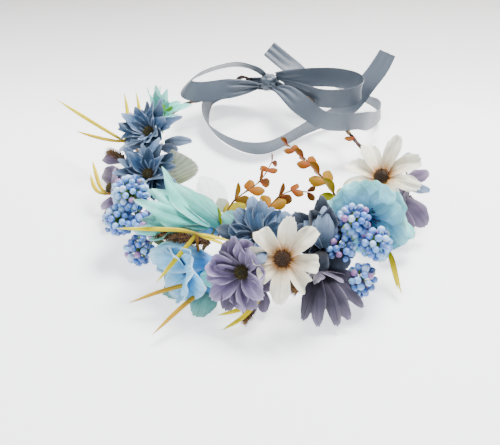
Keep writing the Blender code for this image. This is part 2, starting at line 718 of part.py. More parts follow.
def make_ribbon_run(crown, name, rows, count, finish):
    """A stretch of ribbon, ending where it would come too near what is already there."""
    rings = band(smooth(rows, count * 2 + 1))
    edges = np.stack([rings[:, :2].mean(axis=1), rings[:, 2:].mean(axis=1), rings.mean(axis=1)], 1)
    run = clear_run(crown.surfaces(), edges, RIBBON_THICKNESS / 2 + 2 * GAP)
    crown.add(name, lofted(rings[run][::2]), rings[run][0].mean(axis=0), finish)


def sling_rows(eye_at):
    """A gathered band from the knot, round the near side of an eye's wire through its bore, and back."""
    knot = knot_centre()
    forward = unit((knot - eye_at) * [1, 1, 0])
    side = np.cross(UP, forward)
    centre = eye_at + UP * (EYE_BORE + WIRE_DIAMETER) / 2
    radius = (EYE_BORE + WIRE_DIAMETER) / 2
    wrap = WIRE_DIAMETER / 2 + SLING_CLEARANCE
    turn = np.radians([-90, -130, -180, -230, -270])
    bends = [centre + forward * (radius + wrap * math.cos(t)) + side * wrap * math.sin(t) for t in turn]
    length = np.linalg.norm((knot - centre) * [1, 1, 0])
    there = centre + forward * (radius + (length - radius) * 0.5)
    points = [knot - side * wrap, there - side * wrap] + bends + [there + side * wrap, knot + side * wrap]
    return np.array([[*point, 0, 90] for point in points])


def make_ribbon(crown):
    finish = material("ribbon_satin", RIBBON_BLUE, 0.35)
    knot = knot_centre()
    points, faces = globe(np.zeros(3), 1.0, around=10, rows=6)
    crown.add("ribbon_knot", (knot + points * KNOT_SIZE, faces), knot, finish)
    angle, out = WIRE_ROUTE[-1]
    make_ribbon_run(crown, "ribbon_left_sling", sling_rows(place(angle, out, RING_HEIGHT)), 16, finish)
    angle, out = WIRE_ROUTE[0]
    make_ribbon_run(crown, "ribbon_right_sling", sling_rows(place(angle, out, RING_HEIGHT)), 20, finish)
    for name, points in RIBBON_RUNS:
        rows = np.array([[*place(*point[:3]), *point[3:]] for point in points])
        make_ribbon_run(crown, name, rows, 30 if "tail" in name else 22, finish)


# Grass and sprigs, which find their room among what is already there

def clear_foot(tree, foot, outward):
    """The first spot from foot outward that has room for a tuft's knot."""
    while tree.find_nearest(Vector(foot))[3] < TUFT_KNOT_RADIUS + GAP:
        foot = foot + outward * GAP
    return foot


def make_grass(crown):
    finish = material("straw", STRAW, 0.6)
    for name, at, blades in GRASS:
        tree = crown.surfaces()
        foot = clear_foot(tree, place(*at), unit(place(at[0], 0, 0)))
        shapes = []
        for steps in blades:
            route = smooth(foot + np.array(((0, 0, 0),) + steps, float), 15)
            route[:, 2] = np.maximum(route[:, 2], TABLE + GRASS_ABOVE_TABLE)
            half = np.linspace(1, 0.4, len(route)) * GRASS_WIDTH / 2
            near = [tree.find_nearest(Vector(spot))[3] < wide + GAP for spot, wide in zip(route, half)]
            end = max(near.index(True), 3) if True in near else len(route)
            blade = route[:end:2]
            sideways = np.cross(directions(blade), UP) + UP * 0.3
            shapes.append(flat_blade(blade, half[:end:2], GRASS_THICKNESS, sideways))
        crown.add(name, globe(foot, TUFT_KNOT_RADIUS), foot, finish, extras=together(shapes))


def make_sprig(crown, name, places, pairs, leaf_length, leaf_width, finish):
    """A stem from its tip in to the last clear spot, with pairs of leaves that have room."""
    tree = crown.surfaces()
    route = smooth([place(*spot) for spot in places], 24)
    run = clear_run(tree, route[:, None], SPRIG_STEM_DIAMETER / 2 + GAP)
    stem = route[run]
    tangents = directions(stem)
    level, rising = across(tangents)
    leaves = [leaf_at(stem[-1] - tangents[-1], tangents[-1], level[-1], leaf_length, leaf_width)]
    for pair in range(1, pairs):
        at = len(stem) - 1 - round(pair * len(stem) / pairs)
        for side in (-1, 1):
            way = unit(side * level[at] * 0.9 + rising[at] * 0.35 + tangents[at] * 0.6)
            leaf = leaf_at(stem[at], way, np.cross(way, rising[at]), leaf_length * 0.85, leaf_width)
            outer = leaf[0][len(leaf[0]) // 2:]
            if all(tree.find_nearest(Vector(point))[3] > GAP for point in outer):
                leaves.append(leaf)
    line = stem[::-2][::-1]
    shape = rod(line, np.linspace(1, 0.7, len(line)) * SPRIG_STEM_DIAMETER / 2)
    crown.add(name, shape, line[0], finish, extras=together(leaves))


def leaf_at(root, way, wide, length, width):
    """An oval leaf from root along way."""
    share = np.array([0, 0.3, 0.65, 0.92])
    half = width / 2 * np.array([0.12, 0.85, 1.0, 0.4])
    route = root + way * (share * length)[:, None]
    return flat_blade(route, half, LEAF_THICKNESS, wide)


def make_sprigs(crown):
    finish = material("eucalyptus", EUCALYPTUS, 0.5)
    for name, places, pairs in SPRIGS:
        make_sprig(crown, name, places, pairs, SPRIG_LEAF_LENGTH, SPRIG_LEAF_WIDTH, finish)
    root, tip = (place(*spot) for spot in WIRE_LEAF)
    way = unit(tip - root)
    start = root + way * (WIRE_DIAMETER / 2 + GAP)
    small = leaf_at(start, way, np.cross(way, UP), SPRIG_LEAF_LENGTH * 0.8, SPRIG_LEAF_WIDTH * 0.8)
    crown.add("wire_leaf", small, start, finish)
    name, places, pairs = GREEN_SPRIG
    green = material("leaf_green", LEAF_GREEN, 0.6)
    make_sprig(crown, name, places, pairs, GREEN_LEAF_LENGTH, GREEN_LEAF_WIDTH, green)


def main():
    clear_scene()
    crown = Crown()
    wire = make_wire(crown)
    make_tape(crown, wire)
    rooms = {}
    for name, kind, at, facing, radius, share, *_ in BLOSSOMS:
        centre, forward = place(*at), towards(*facing)
        ahead = radius * {"lily": 0.62, "poppy": 0.3}.get(kind, 0.1)
        rooms[name] = Room(centre, centre + forward * ahead, share)
    for name, at, outer, _ in BERRY_CLUSTERS:
        rooms[name] = Room(place(*at), place(*at), outer)
    for name, foot, tip, fat, _ in SPIKES:
        rooms[name] = Room(place(*foot), place(*tip), SPIKE_ROOM * fat)
    rooms["serrated_leaf"] = Room(place(*SERRATED_LEAF[0]), place(*SERRATED_LEAF[1]), LEAF_ROOM)
    part_rooms(rooms, wire)
    make_blossoms(crown, rooms, wire)
    make_berries(crown, rooms)
    make_spikes(crown, rooms)
    make_serrated_leaf(crown, rooms["serrated_leaf"])
    make_ribbon(crown)
    make_sprigs(crown)
    make_grass(crown)
    crown.set_down()


main()
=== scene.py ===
"""Flower crown: the looks of a wire ring dressed with cloth flowers, berries, leaves, grass and a ribbon.

Shapes are worked out in millimetres and made in metres. A place is given round the ring: its angle from +X
towards +Y in degrees, how far it is outside the ring's circle, and its height. A direction is given as an
azimuth, measured the same way, and an elevation above level.
"""

import math

import bmesh
import bpy
import numpy as np
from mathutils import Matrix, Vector


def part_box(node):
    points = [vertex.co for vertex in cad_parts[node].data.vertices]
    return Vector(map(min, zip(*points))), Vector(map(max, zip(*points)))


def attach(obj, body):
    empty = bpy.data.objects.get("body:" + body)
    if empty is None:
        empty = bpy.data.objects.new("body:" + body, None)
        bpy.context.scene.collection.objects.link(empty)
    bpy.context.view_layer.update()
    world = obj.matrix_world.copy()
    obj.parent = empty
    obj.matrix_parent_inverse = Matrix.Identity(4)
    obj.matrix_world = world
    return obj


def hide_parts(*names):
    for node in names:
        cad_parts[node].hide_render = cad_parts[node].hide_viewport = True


bl_info = {
    "name": "Flower crown",
    "version": (1, 0, 0),
    "blender": (4, 5, 0),
    "location": "3D View > Sidebar > Crown",
    "description": "Makes the petals, berries, leaves, grass, wire and ribbon of a flower crown",
    "category": "Add Mesh",
}

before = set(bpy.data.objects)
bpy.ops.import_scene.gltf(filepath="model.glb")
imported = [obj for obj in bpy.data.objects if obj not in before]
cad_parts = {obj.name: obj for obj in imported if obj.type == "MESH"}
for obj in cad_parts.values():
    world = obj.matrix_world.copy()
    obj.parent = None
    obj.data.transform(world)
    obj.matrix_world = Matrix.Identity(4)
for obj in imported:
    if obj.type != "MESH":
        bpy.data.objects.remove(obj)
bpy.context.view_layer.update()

MM = 0.001
BODY = "root"
UP = np.array([0.0, 0.0, 1.0])

# The ring, as in the frame
RING_RADIUS = 88.0
RING_HEIGHT = 20.0
WIRE_DIAMETER = 3.0
EYE_BORE = 8.0
EYE_END = 200.0
WIRE_ROUTE = (
    (66, 1.5), (50, 0.5), (30, -8), (5, -6), (-25, -3), (-60, 0), (-90, 0),
    (-120, 0), (-150, 0), (-180, -4), (-210, 3), (-234, 18), (-247, 19), (-263, 25),
)
TAPE_FROM, TAPE_TO = -213, 14
KNOT_PLACE = (86.5, 25.5, 25.5)
KNOT_SIZE = (8.0, 6.5, 7.5)

# How far the frame was lowered to stand on its lowest point
SETTLED = KNOT_PLACE[2] - sum(corner.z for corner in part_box("ribbon_knot")) / 2 / MM
TABLE = 0.0

# Room between neighbours
BETWEEN_ROOMS = -5.0
GAP = 0.2
FREE_SHARE = 0.8
SLEEVE = 2.8
SPIKE_ROOM = 4.5
LEAF_ROOM = 9.0

# Each kind of blossom. half: a petal's half width as a share of the radius; foot: its width there as a
# share; bulge: where it is widest, 0.5 for the tip and 0.9 for near the middle; point: how much shorter its
# sides are than its middle; power: how square its tip is; slope: at the foot and the tip, in degrees
KINDS = {
    "daisy": dict(count=8, layers=1, half=0.20, foot=0.34, bulge=0.60, point=0.26, power=2.8, slope=(24, -4),
                  cup=0.30, ribs=3, rib=0.16, notch=0.030, wave=0.30, hollow=2.0, rows=17, columns=13),
    "pleated": dict(count=8, layers=2, half=0.24, foot=0.28, bulge=0.62, point=0.34, power=2.3,
                    slope=(30, -6), cup=0.36, ribs=3, rib=0.16, notch=0.028, wave=0.42, hollow=1.8,
                    rows=17, columns=13),
    "lance": dict(count=7, layers=3, half=0.19, foot=0.30, bulge=0.72, point=0.55, power=1.9, slope=(30, 2),
                  cup=0.42, ribs=2, rib=0.10, notch=0.0, wave=0.26, hollow=1.6, rows=15, columns=11),
    "droop": dict(count=7, layers=2, half=0.34, foot=0.3, bulge=0.62, point=0.28, power=2.6, slope=(-2, -46),
                  cup=-0.22, ribs=3, rib=0.16, notch=0.02, wave=0.3, hollow=1.6, rows=15, columns=13),
    "bell": dict(count=7, layers=1, half=0.17, foot=0.30, bulge=0.60, point=0.34, power=2.2, slope=(16, 34),
                 cup=0.34, ribs=2, rib=0.12, notch=0.008, wave=0.2, hollow=1.6, rows=15, columns=11),
    "poppy": dict(count=4, layers=2, half=0.60, foot=0.22, bulge=0.62, point=0.24, power=2.4, slope=(58, -14),
                  cup=0.16, ribs=5, rib=0.5, notch=0.02, wave=0.22, hollow=1.8, rows=25, columns=33),
    "round": dict(count=4, layers=2, half=0.46, foot=0.26, bulge=0.60, point=0.24, power=2.5, slope=(46, -6),
                  cup=0.22, ribs=3, rib=0.3, notch=0.006, wave=0.16, hollow=1.6, rows=19, columns=23),
    "lily": dict(count=6, layers=2, half=0.17, foot=0.30, bulge=0.84, point=0.40, power=1.4, slope=(66, 44),
                 cup=0.40, ribs=2, rib=0.2, notch=0.0, wave=0.24, hollow=1.4, rows=25, columns=13),
}

# Blossoms: name, kind in the frame, kind, place, direction faced, radius, room share, cloth, centre
BLOSSOMS = (
    ("dusty_daisy_back_left", "daisy", "lance", (159, -6, 36), (225, 58), 27, 13, "dusty", "olive"),
    ("dusty_daisy_left", "daisy", "lance", (-169, -14, 34), (240, 56), 26, 12, "dusty", "olive"),
    ("mauve_daisy_left", "droop", "droop", (-176, 13, 17), (186, 5), 17, 9, "mauve", "olive"),
    ("mint_bud_back_left", "lily", "lily", (147, 3, 31), (35, 58), 30, 9, "mint", "olive"),
    ("mint_lily_left", "lily", "lily", (-117, -18, 34), (171, 6), 50, 14, "mint", "olive"),
    ("sky_blossom_front_left", "round", "round", (-118, 8, 21), (225, 15), 21, 12, "sky", "navy"),
    ("lavender_daisy_front", "daisy", "pleated", (-97, 8, 30), (240, 38), 25, 13, "lavender", "olive"),
    ("dusty_daisy_front", "daisy", "pleated", (-92, -13, 39), (262, 50), 21, 11, "dusty", "olive"),
    ("white_daisy_front", "daisy", "daisy", (-84, 8, 41), (260, 44), 26, 13, "cream", "umber"),
    ("slate_daisy_front", "bell", "bell", (-72, 9, 27), (285, -34), 19, 13, "slate", "olive"),
    # Painted shade: this dusty blue daisy wears the near-black ink cloth for the shade that it lies in.
    ("dusty_daisy_front_right", "daisy", "pleated", (-65, -9, 35), (275, 38), 24, 12, "ink", "olive"),
    ("sky_poppy_right", "poppy", "poppy", (-40, -7, 34), (264, 27), 29, 17, "poppy", "navy"),
    ("white_daisy_right", "daisy", "daisy", (-19, -9, 42), (240, 60), 27, 14, "cream", "umber"),
    ("mauve_daisy_right", "droop", "droop", (-13, 9, 19), (-15, 5), 21, 12, "mauve", "olive"),
)
AHEAD = {"lily": 0.62, "poppy": 0.3}
BUTTONS = {
    "daisy": (4.6, 3.2), "pleated": (4.0, 3.0), "lance": (3.4, 3.0), "droop": (3.6, 3.0), "bell": (3.0, 2.6),
    "poppy": (2.6, 2.0), "round": (2.6, 2.2), "lily": (1.8, 3.0),
}
NECK_LENGTH = 3.0
STEM_RADIUS = 1.0

# Petals that stand by themselves: cloth, place of the foot, place of the tip, width
LOOSE = (
    ("lavender", (160, 1, 32), (155, 14, 44), 9),
    ("lavender", (160, 0, 33), (154, 8, 46), 9),
    ("steel", (159, -16, 32), (154, -35, 34), 8),
    ("ink", (165, -16, 33), (165, -29, 32), 9),
    ("pale", (165, -7, 34), (172, 10, 33), 8),
    ("ink", (176, -11, 33), (174, 4, 30), 10),
    ("ink", (-167, -14, 32), (-169, 6, 24), 10),
    ("ink", (-165, -15, 32), (-160, -27, 28), 10),
    ("dusty", (-167, -13, 32), (-160, -4, 26), 9),
    ("mauve", (-178, 4, 22), (175, 22, 16), 14),
    ("mauve", (-171, 2, 16), (-170, 21, 10), 13),
    ("mauve", (-171, 3, 12), (-164, 21, 6), 13),
    ("mauve", (168, 10, 20), (166, 28, 15), 10),
    ("veil", (-114, -26, 30), (-153, -46, 36), 20),
    ("sky", (-112, -20, 32), (-136, -5, 34), 14),
    ("sky", (-112, -23, 29), (-133, -7, 27), 13),
    ("mint", (-111, -20, 34), (-152, -8, 40), 12),
    ("mint", (-113, -21, 33), (-152, -23, 40), 12),
    ("mint", (-112, -21, 32), (-145, -8, 36), 14),
    ("mint", (-112, -24, 30), (-143, -31, 34), 14),
    ("sky", (-109, 2, 27), (-132, 13, 22), 20),
    ("sky", (-112, 1, 24), (-122, 19, 9), 24),
    ("deep", (-110, -1, 22), (-111, 9, 7), 22),
    # Painted shade: mint petals low under the sky blossom get the darker teal cloth for the shade that they
    # lie in.
    ("teal", (-112, 3, 8), (-125, 18, 3), 17),
    ("teal", (-110, 2, 7), (-110, 26, 3), 17),
    ("mint", (-99, 4, 24), (-112, 10, 20), 17),
    ("ink", (-94, -8, 37), (-112, -15, 38), 11),
    ("dusty", (-92, -9, 40), (-97, -30, 54), 10),
    ("teal", (-96, -11, 38), (-112, -24, 42), 13),
    ("pale", (-90, 6, 46), (-93, 12, 42), 9),
    ("lavender", (-93, 5, 9), (-96, 21, 4), 9),
    ("lavender", (-91, 2, 10), (-90, 16, 4), 9),
    ("dusty", (-79, -6, 39), (-80, -21, 50), 13),
    ("steel", (-68, 2, 38), (-69, -17, 47), 13),
    ("steel", (-67, 3, 38), (-60, -16, 50), 15),
    # Painted shade: the ink cloth on these lower petals stands for dusty blue cloth in shade.
    ("ink", (-66, 4, 36), (-62, 13, 26), 14),
    ("ink", (-68, 3, 36), (-73, 11, 28), 12),
    ("slate", (-71, 6, 25), (-79, 27, 8), 9),
    ("slate", (-71, 7, 24), (-75, 31, 5), 10),
    ("slate", (-70, 7, 23), (-70, 33, 4), 10),
    ("slate", (-69, 7, 23), (-66, 33, 6), 10),
    ("slate", (-69, 6, 24), (-61, 30, 8), 9),
    ("slate", (-68, 5, 26), (-57, 24, 14), 8),
    ("steel", (-8, 0, 32), (1, 10, 40), 8),
    ("mauve", (-10, 5, 30), (-3, 22, 30), 10),
    ("steel", (-11, 6, 28), (-9, 23, 24), 8),
    ("mauve", (-17, 6, 26), (-20, 24, 12), 16),
    ("mauve", (-21, 6, 24), (-26, 16, 8), 13),
    ("deep", (-34, 5, 23), (-32, 16, 15), 13),
    ("mint", (-31, 6, 24), (-28, 20, 14), 12),
    ("sky", (-41, 0, 30), (-46, 15, 16), 17),
    ("mint", (-47, -10, 36), (-52, -27, 40), 15),
)

# Berry clusters: name, place, outer radius, stretch upwards
BERRY_CLUSTERS = (
    ("berries_left_top", (-156, 2, 38), 12.0, 1.0),
    ("berries_left_outer", (-152, 13, 26), 10.5, 1.0),
    ("berries_left_inner", (-143, 0, 26), 10.5, 1.0),
    ("berries_left_low", (-142, 9, 12), 10.0, 1.1),
    ("berries_right_top", (-53, -1, 46), 10.5, 1.0),
    ("berries_right_inner", (-61, 3, 33), 10.0, 1.0),
    ("berries_right_outer", (-51, 14, 37), 10.0, 1.0),
    ("berries_right_low", (-58, 19, 18), 9.5, 1.3),
)
AREA_PER_BERRY = 17.5

# Bristly spikes: name, foot, tip, fatness, bristles
SPIKES = (
    ("bristle_spike_front", (-111, -3, 37), (-135, 6, 33), 1.1, 1200),
    ("bristle_pod_left", (168, 10, 21), (164, 26, 19), 1.3, 420),
    ("bristle_tuft_back_left", (152, 10, 26), (150, 24, 31), 0.9, 260),
)
# Small tufts of bristles that peep out between petals, in the same form
TUFTS = (
    ("bristle_tuft_low", (-93, 17, 11), (-96, 25, 4), 0.8, 160),
    ("bristle_tuft_front", (-83, 10, 28), (-80, 18, 22), 1.0, 260),
)
SPIKE_RADIUS = 2.2
BRISTLE_LENGTH = 1.9

SERRATED_LEAF = ((-165, -29, 27), (172, -27, 38), 25.0)

# Grass tufts: name, place of the foot, blades as steps from the foot in mm
GRASS = (
    ("grass_back_left", (163, 12, 30), (
        ((-14, 8, 4), (-32, 20, 8), (-52, 34, 12)),
        ((-10, 3, -1), (-22, 6, 0), (-35, 9, 2)),
        ((1, 14, 9), (0, 22, 14), (-2, 31, 19)),
        ((8, 17, 9), (8, 25, 14), (6, 33, 19)),
    )),
    ("grass_left", (-174, 17, 16), (
        ((-5, 6, 2), (-9, 16, 4), (-13, 28, 6)),
        ((-6, 2, 1), (-10, 8, 2), (-13, 17, 3)),
    )),
    ("grass_front_left", (-116, 0, 45), (
        ((-10, 2, 1), (-28, 5, -1), (-47, 8, -4)),
        ((-5, -4, -5), (-14, -11, -13), (-23, -18, -22)),
        ((6, 0, -1), (12, -1, -2), (19, -3, -3)),
        ((6, -1, -2), (12, -3, -3), (19, -6, -5)),
    )),
    ("grass_front", (-110, 7, 15), (
        ((-14, -5, 3), (-30, -9, 1), (-46, -12, -5)),
        ((-6, -10, 1), (-17, -21, -1), (-30, -33, -7)),
    )),
    ("grass_front_stub", (-91, 15, 17), (
        ((-8, -4, -3), (-16, -5, -6), (-25, -5, -10)),
        ((-7, -6, -5), (-13, -10, -8), (-22, -14, -12)),
    )),
    ("grass_right", (-42, 13, 22), (
        ((3, -6, -3), (5, -13, -9), (7, -23, -16)),
        ((2, -7, -4), (4, -14, -10), (5, -20, -15)),
    )),
)

# How brown a tuft is, and a blade that differs from its tuft
BROWN_TUFTS = {"grass_front": 0.9, "grass_left": 0.2}
BROWN_BLADES = {("grass_back_left", 1): 0.55}

# Leafy sprigs: name, places from foot to tip, leaf pairs
SPRIGS = (
    ("eucalyptus_left", ((-112, -16, 30), (-114, -40, 36), (-95, -62, 39), (-40, -80, 38)), 6),
    ("eucalyptus_middle", ((-88, -16, 30), (-85, -40, 37), (-66, -48, 40), (-54, -42, 40)), 5),
    ("eucalyptus_right", ((-46, -14, 30), (-40, -30, 38), (-28, -52, 44), (12, -71, 46)), 8),
)
GREEN_SPRIG = ("green_sprig_back_left", ((151, -8, 30), (151, -9, 37), (150, -9, 42), (148, -9, 46)), 0)
WIRE_LEAF = ((33, -6, 22), (35, -16, 24))

# The ribbon's stretches: place, share of the full width, lean of the width from level
RIBBON_RUNS = (
    ("ribbon_left_tail", "laid", (
        (87, 25, 20, 0.3, 0), (96, 30, 17, 0.7, 60), (107, 35, 12, 1, 90), (112, 26, 9, 1, 105),
        (116, 8, 8, 1, 112), (116, -12, 8, 1, 115), (107, -32, 8, 1, 112), (90, -38, 8, 1, 106),
        (76, -29, 8, 1, 104), (65, -6, 9, 1, 100), (58, 14, 11, 1, 90), (54, 31, 15, 1, 60),
        (52, 46, 28, 1, 25), (51, 58, 37, 1, 15), (51, 70, 46, 0.9, 10),
    )),
    ("ribbon_right_tail", "laid", (
        (85, 24, 22, 0.3, 0), (79, 6, 31, 0.75, 30), (70, -8, 32, 1, 45), (60, -15, 31, 1, 65),
        (49, -18, 31, 1, 85), (40, -10, 31, 1, 92), (37, 4, 29, 1, 95), (39, 18, 21, 1, 95),
        (42, 34, 16, 1, 92), (46, 46, 14, 1, 75), (52, 47, 15, 1, 55), (61, 39, 22, 1, 35),
        (71, 32, 29, 1, 5), (79, 35, 36, 1, -20), (87, 42, 46, 0.9, -32),
    )),
    ("ribbon_left_loop", "folded", (
        (88, 29, 29, 0.35, 60), (92, 30, 35, 0.8, 48), (99, 33, 38, 1, 44), (108, 32, 37, 1, 44),
        (116, 30, 34, 1, 46), (121, 22, 32, 1, 50), (117, 14, 31, 1, 52), (105, 12, 30, 1, 55),
        (96, 15, 28, 0.7, 70), (91, 19, 26, 0.35, 85),
    )),
    ("ribbon_right_loop", "folded", (
        (84, 29, 30, 0.35, 80), (78, 23, 33, 0.8, 80), (69, 23, 36, 1, 80), (60, 27, 38, 1, 75),
        (52, 30, 38, 1, 80), (48, 25, 36, 1, 90), (50, 14, 34, 1, 95), (60, 3, 33, 1, 95),
        (72, 9, 32, 0.8, 90), (80, 17, 30, 0.35, 90),
    )),
)
PLEATS = 2.5
SLING_CLEARANCE = 2.0


# What a user may change

class CrownSizes(bpy.types.PropertyGroup):
    wire: bpy.props.FloatProperty(
        name="Wire", description="Thickness of the covered wire", default=WIRE_DIAMETER * MM,
        subtype="DISTANCE")
    cloth: bpy.props.FloatProperty(
        name="Petal cloth", description="Thickness of a petal", default=0.25 * MM, subtype="DISTANCE")
    berry: bpy.props.FloatProperty(
        name="Berry", description="Diameter of a berry", default=4.4 * MM, subtype="DISTANCE")
    grass: bpy.props.FloatProperty(
        name="Grass", description="Width of a blade of grass", default=2.7 * MM, subtype="DISTANCE")
    leaf_length: bpy.props.FloatProperty(
        name="Leaf length", description="Length of a sprig's leaf", default=10.5 * MM, subtype="DISTANCE")
    leaf_width: bpy.props.FloatProperty(
        name="Leaf width", description="Width of a sprig's leaf", default=7.0 * MM, subtype="DISTANCE")
    ribbon_width: bpy.props.FloatProperty(
        name="Ribbon width", description="Width of the ribbon", default=15.0 * MM, subtype="DISTANCE")
    ribbon_cloth: bpy.props.FloatProperty(
        name="Ribbon thickness", description="Thickness of the ribbon", default=0.35 * MM, subtype="DISTANCE")


def colour_property(name, default):
    """A colour for the panel."""
    return bpy.props.FloatVectorProperty(
        name=name, description=f"Colour of the {name.lower()}", default=default,
        subtype="COLOR", min=0, max=1)


class CrownColours(bpy.types.PropertyGroup):
    dusty: colour_property("Dusty blue cloth", (0.032, 0.082, 0.165))
    lavender: colour_property("Lavender cloth", (0.135, 0.105, 0.205))
    slate: colour_property("Slate cloth", (0.045, 0.038, 0.068))
    # Painted shade: the ink cloth is a real navy, and it also stands for dusty blue petals that lie in shade.
    ink: colour_property("Ink blue cloth and painted shade", (0.010, 0.020, 0.045))
    cream: colour_property("Cream cloth", (0.88, 0.83, 0.64))
    mint: colour_property("Mint cloth", (0.14, 0.68, 0.58))
    sky: colour_property("Sky blue cloth", (0.16, 0.52, 0.88))
    mauve: colour_property("Mauve cloth", (0.11, 0.08, 0.15))
    berry: colour_property("Berries", (0.06, 0.20, 0.66))
    rust: colour_property("Bristles", (0.055, 0.022, 0.008))
    straw: colour_property("Grass", (0.80, 0.66, 0.0))
    ribbon: colour_property("Ribbon", (0.090, 0.112, 0.145))
    bark: colour_property("Bark", (0.055, 0.028, 0.018))


def sizes():
    """The sizes that the panel shows."""
    return bpy.context.scene.crown_sizes


def colours():
    """The colours that the panel shows."""
    return bpy.context.scene.crown_colours


# Places and curves

def place(angle, out, height):
    """A point given round the ring, in millimetres, with the frame settled on the table."""
    turn = math.radians(angle)
    radius = RING_RADIUS + out
    return np.array([radius * math.cos(turn), radius * math.sin(turn), height - SETTLED])


def towards(azimuth, elevation):
    """A unit direction."""
    turn, rise = math.radians(azimuth), math.radians(elevation)
    return np.array([math.cos(rise) * math.cos(turn), math.cos(rise) * math.sin(turn), math.sin(rise)])


def unit(vectors):
    """Vectors at a length of 1."""
    return vectors / np.maximum(np.linalg.norm(vectors, axis=-1, keepdims=True), 1e-9)


def smooth(points, count):
    """A Catmull-Rom curve through rows of numbers, as count rows at steady distances along it."""
    rows = np.asarray(points, float)
    ends = np.vstack([2 * rows[0] - rows[1], rows, 2 * rows[-1] - rows[-2]])
    t = np.linspace(0, 1, 16, endpoint=False)[None, :, None]
    a, b, c, d = (ends[k:len(ends) - 3 + k, None] for k in range(4))
    bend = (2 * a - 5 * b + 4 * c - d) * t**2 + (3 * b - a - 3 * c + d) * t**3
    spans = 0.5 * (2 * b + (c - a) * t + bend)
    dense = np.vstack([spans.reshape(-1, rows.shape[1]), rows[-1:]])
    along = np.concatenate([[0], np.cumsum(np.linalg.norm(np.diff(dense[:, :3], axis=0), axis=1))])
    even = np.linspace(0, along[-1], count)
    return np.column_stack([np.interp(even, along, column) for column in dense.T])


def directions(route):
    """The unit tangent at each point of a route."""
    return unit(np.gradient(route, axis=0))


def across(tangents, up=UP):
    """Two unit directions square to each tangent: a level one that never flips, and one square to both."""
    level = unit(np.cross(up, tangents) + 1e-6)
    flips = np.where((level[1:] * level[:-1]).sum(axis=-1) < 0, -1.0, 1.0)
    level[1:] *= np.cumprod(flips, axis=0)[:, None]
    return level, np.cross(tangents, level)


def facing(forward):
    """The matrix that turns a shape from facing z to facing forward. Points in rows take its transpose."""
    return np.array(Vector(forward).to_track_quat("Z", "Y").to_matrix())


# Meshes. A shape is its points, its faces and the values that its material reads at each point

def grid_quads(rows, columns, wrap=False):
    """Quads of a grid, wound round its columns if asked, whose normals follow rows x columns."""
    r, c = np.meshgrid(np.arange(rows - 1), np.arange(columns if wrap else columns - 1), indexing="ij")
    after = (c + 1) % columns
    row, below = r * columns, (r + 1) * columns
    return np.stack([row + c, below + c, below + after, row + after], -1).reshape(-1, 4)


def shell_quads(rows, columns):
    """Quads of a closed sheet: an upper grid, a lower one after it, and the rim between them."""
    upper = grid_quads(rows, columns)
    under = rows * columns
    index = np.arange(under).reshape(rows, columns)
    rim = np.concatenate([index[:, 0], index[-1, 1:], index[-2::-1, -1], index[0, -2:0:-1]])
    after = np.roll(rim, -1)
    sides = np.stack([after, rim, rim + under, after + under], -1)
    return np.vstack([upper, upper[:, ::-1] + under, sides])


def sheets(middle, thickness, **values):
    """Closed sheets round grids of points shaped (sheets, rows, columns, 3), each thickness thick."""
    count, rows, columns, _ = middle.shape
    normal = unit(np.cross(np.gradient(middle, axis=1), np.gradient(middle, axis=2)))
    half = np.broadcast_to(thickness, middle.shape[:3])[..., None] / 2
    points = np.stack([middle + normal * half, middle - normal * half], axis=1)
    quads = shell_quads(rows, columns) + (np.arange(count) * 2 * rows * columns)[:, None, None]
    both = {}
    for name, value in values.items():
        value = np.broadcast_to(value, middle.shape[:3])
        both[name] = np.stack([value, value], axis=1).ravel()
    return points.reshape(-1, 3), quads.reshape(-1, 4).tolist(), both


def tube(route, radii, sides=10, **values):
    """A round rod along a route, its ends capped. radii is one number, one per point, or a grid of them."""
    route = np.asarray(route, float)
    level, rising = across(directions(route))
    turn = np.arange(sides) * 2 * math.pi / sides
    radii = np.broadcast_to(np.asarray(radii, float).reshape(-1, 1) if np.ndim(radii) < 2 else radii,
                            (len(route), sides))[..., None]
    spread = np.cos(turn)[:, None] * level[:, None] + np.sin(turn)[:, None] * rising[:, None]
    points = (route[:, None] + radii * spread).reshape(-1, 3)
    last = (len(route) - 1) * sides
    faces = grid_quads(len(route), sides, wrap=True)[:, ::-1].tolist()
    faces += [list(range(sides))[::-1], list(range(last, last + sides))]
    share = np.repeat(np.linspace(0, 1, len(route)), sides)
    made = {"along": share, "across": np.tile(np.cos(turn), len(route))}
    made.update({name: np.full(len(points), float(value)) for name, value in values.items()})
    return points, faces, made


def cones(roots, tips, radius, tip_radius=0.15, sides=4, **values):
    """Slim pegs from roots to tips, with radius at the root and that times tip_radius at the tip."""
    way = unit(tips - roots)
    level, rising = across(way)
    turn = np.arange(sides) * 2 * math.pi / sides
    spread = np.cos(turn)[:, None] * level[:, None] + np.sin(turn)[:, None] * rising[:, None]
    radius = np.broadcast_to(radius, len(roots))[:, None, None]
    lower = roots[:, None] + spread * radius
    upper = tips[:, None] + spread * radius * tip_radius
    points = np.concatenate([lower, upper], axis=1)
    a = np.arange(sides)
    b = (a + 1) % sides
    walls = np.stack([a, b, b + sides, a + sides], -1)
    one = walls if sides != 4 else np.vstack([walls, [a[::-1]], [a + sides]])
    faces = (one + (np.arange(len(roots)) * 2 * sides)[:, None, None]).reshape(-1, 4).tolist()
    made = {"along": np.tile(np.repeat([0.0, 1.0], sides), len(roots))}
    for name, value in values.items():
        made[name] = np.repeat(np.broadcast_to(value, len(roots)), 2 * sides)
    return points.reshape(-1, 3), faces, made


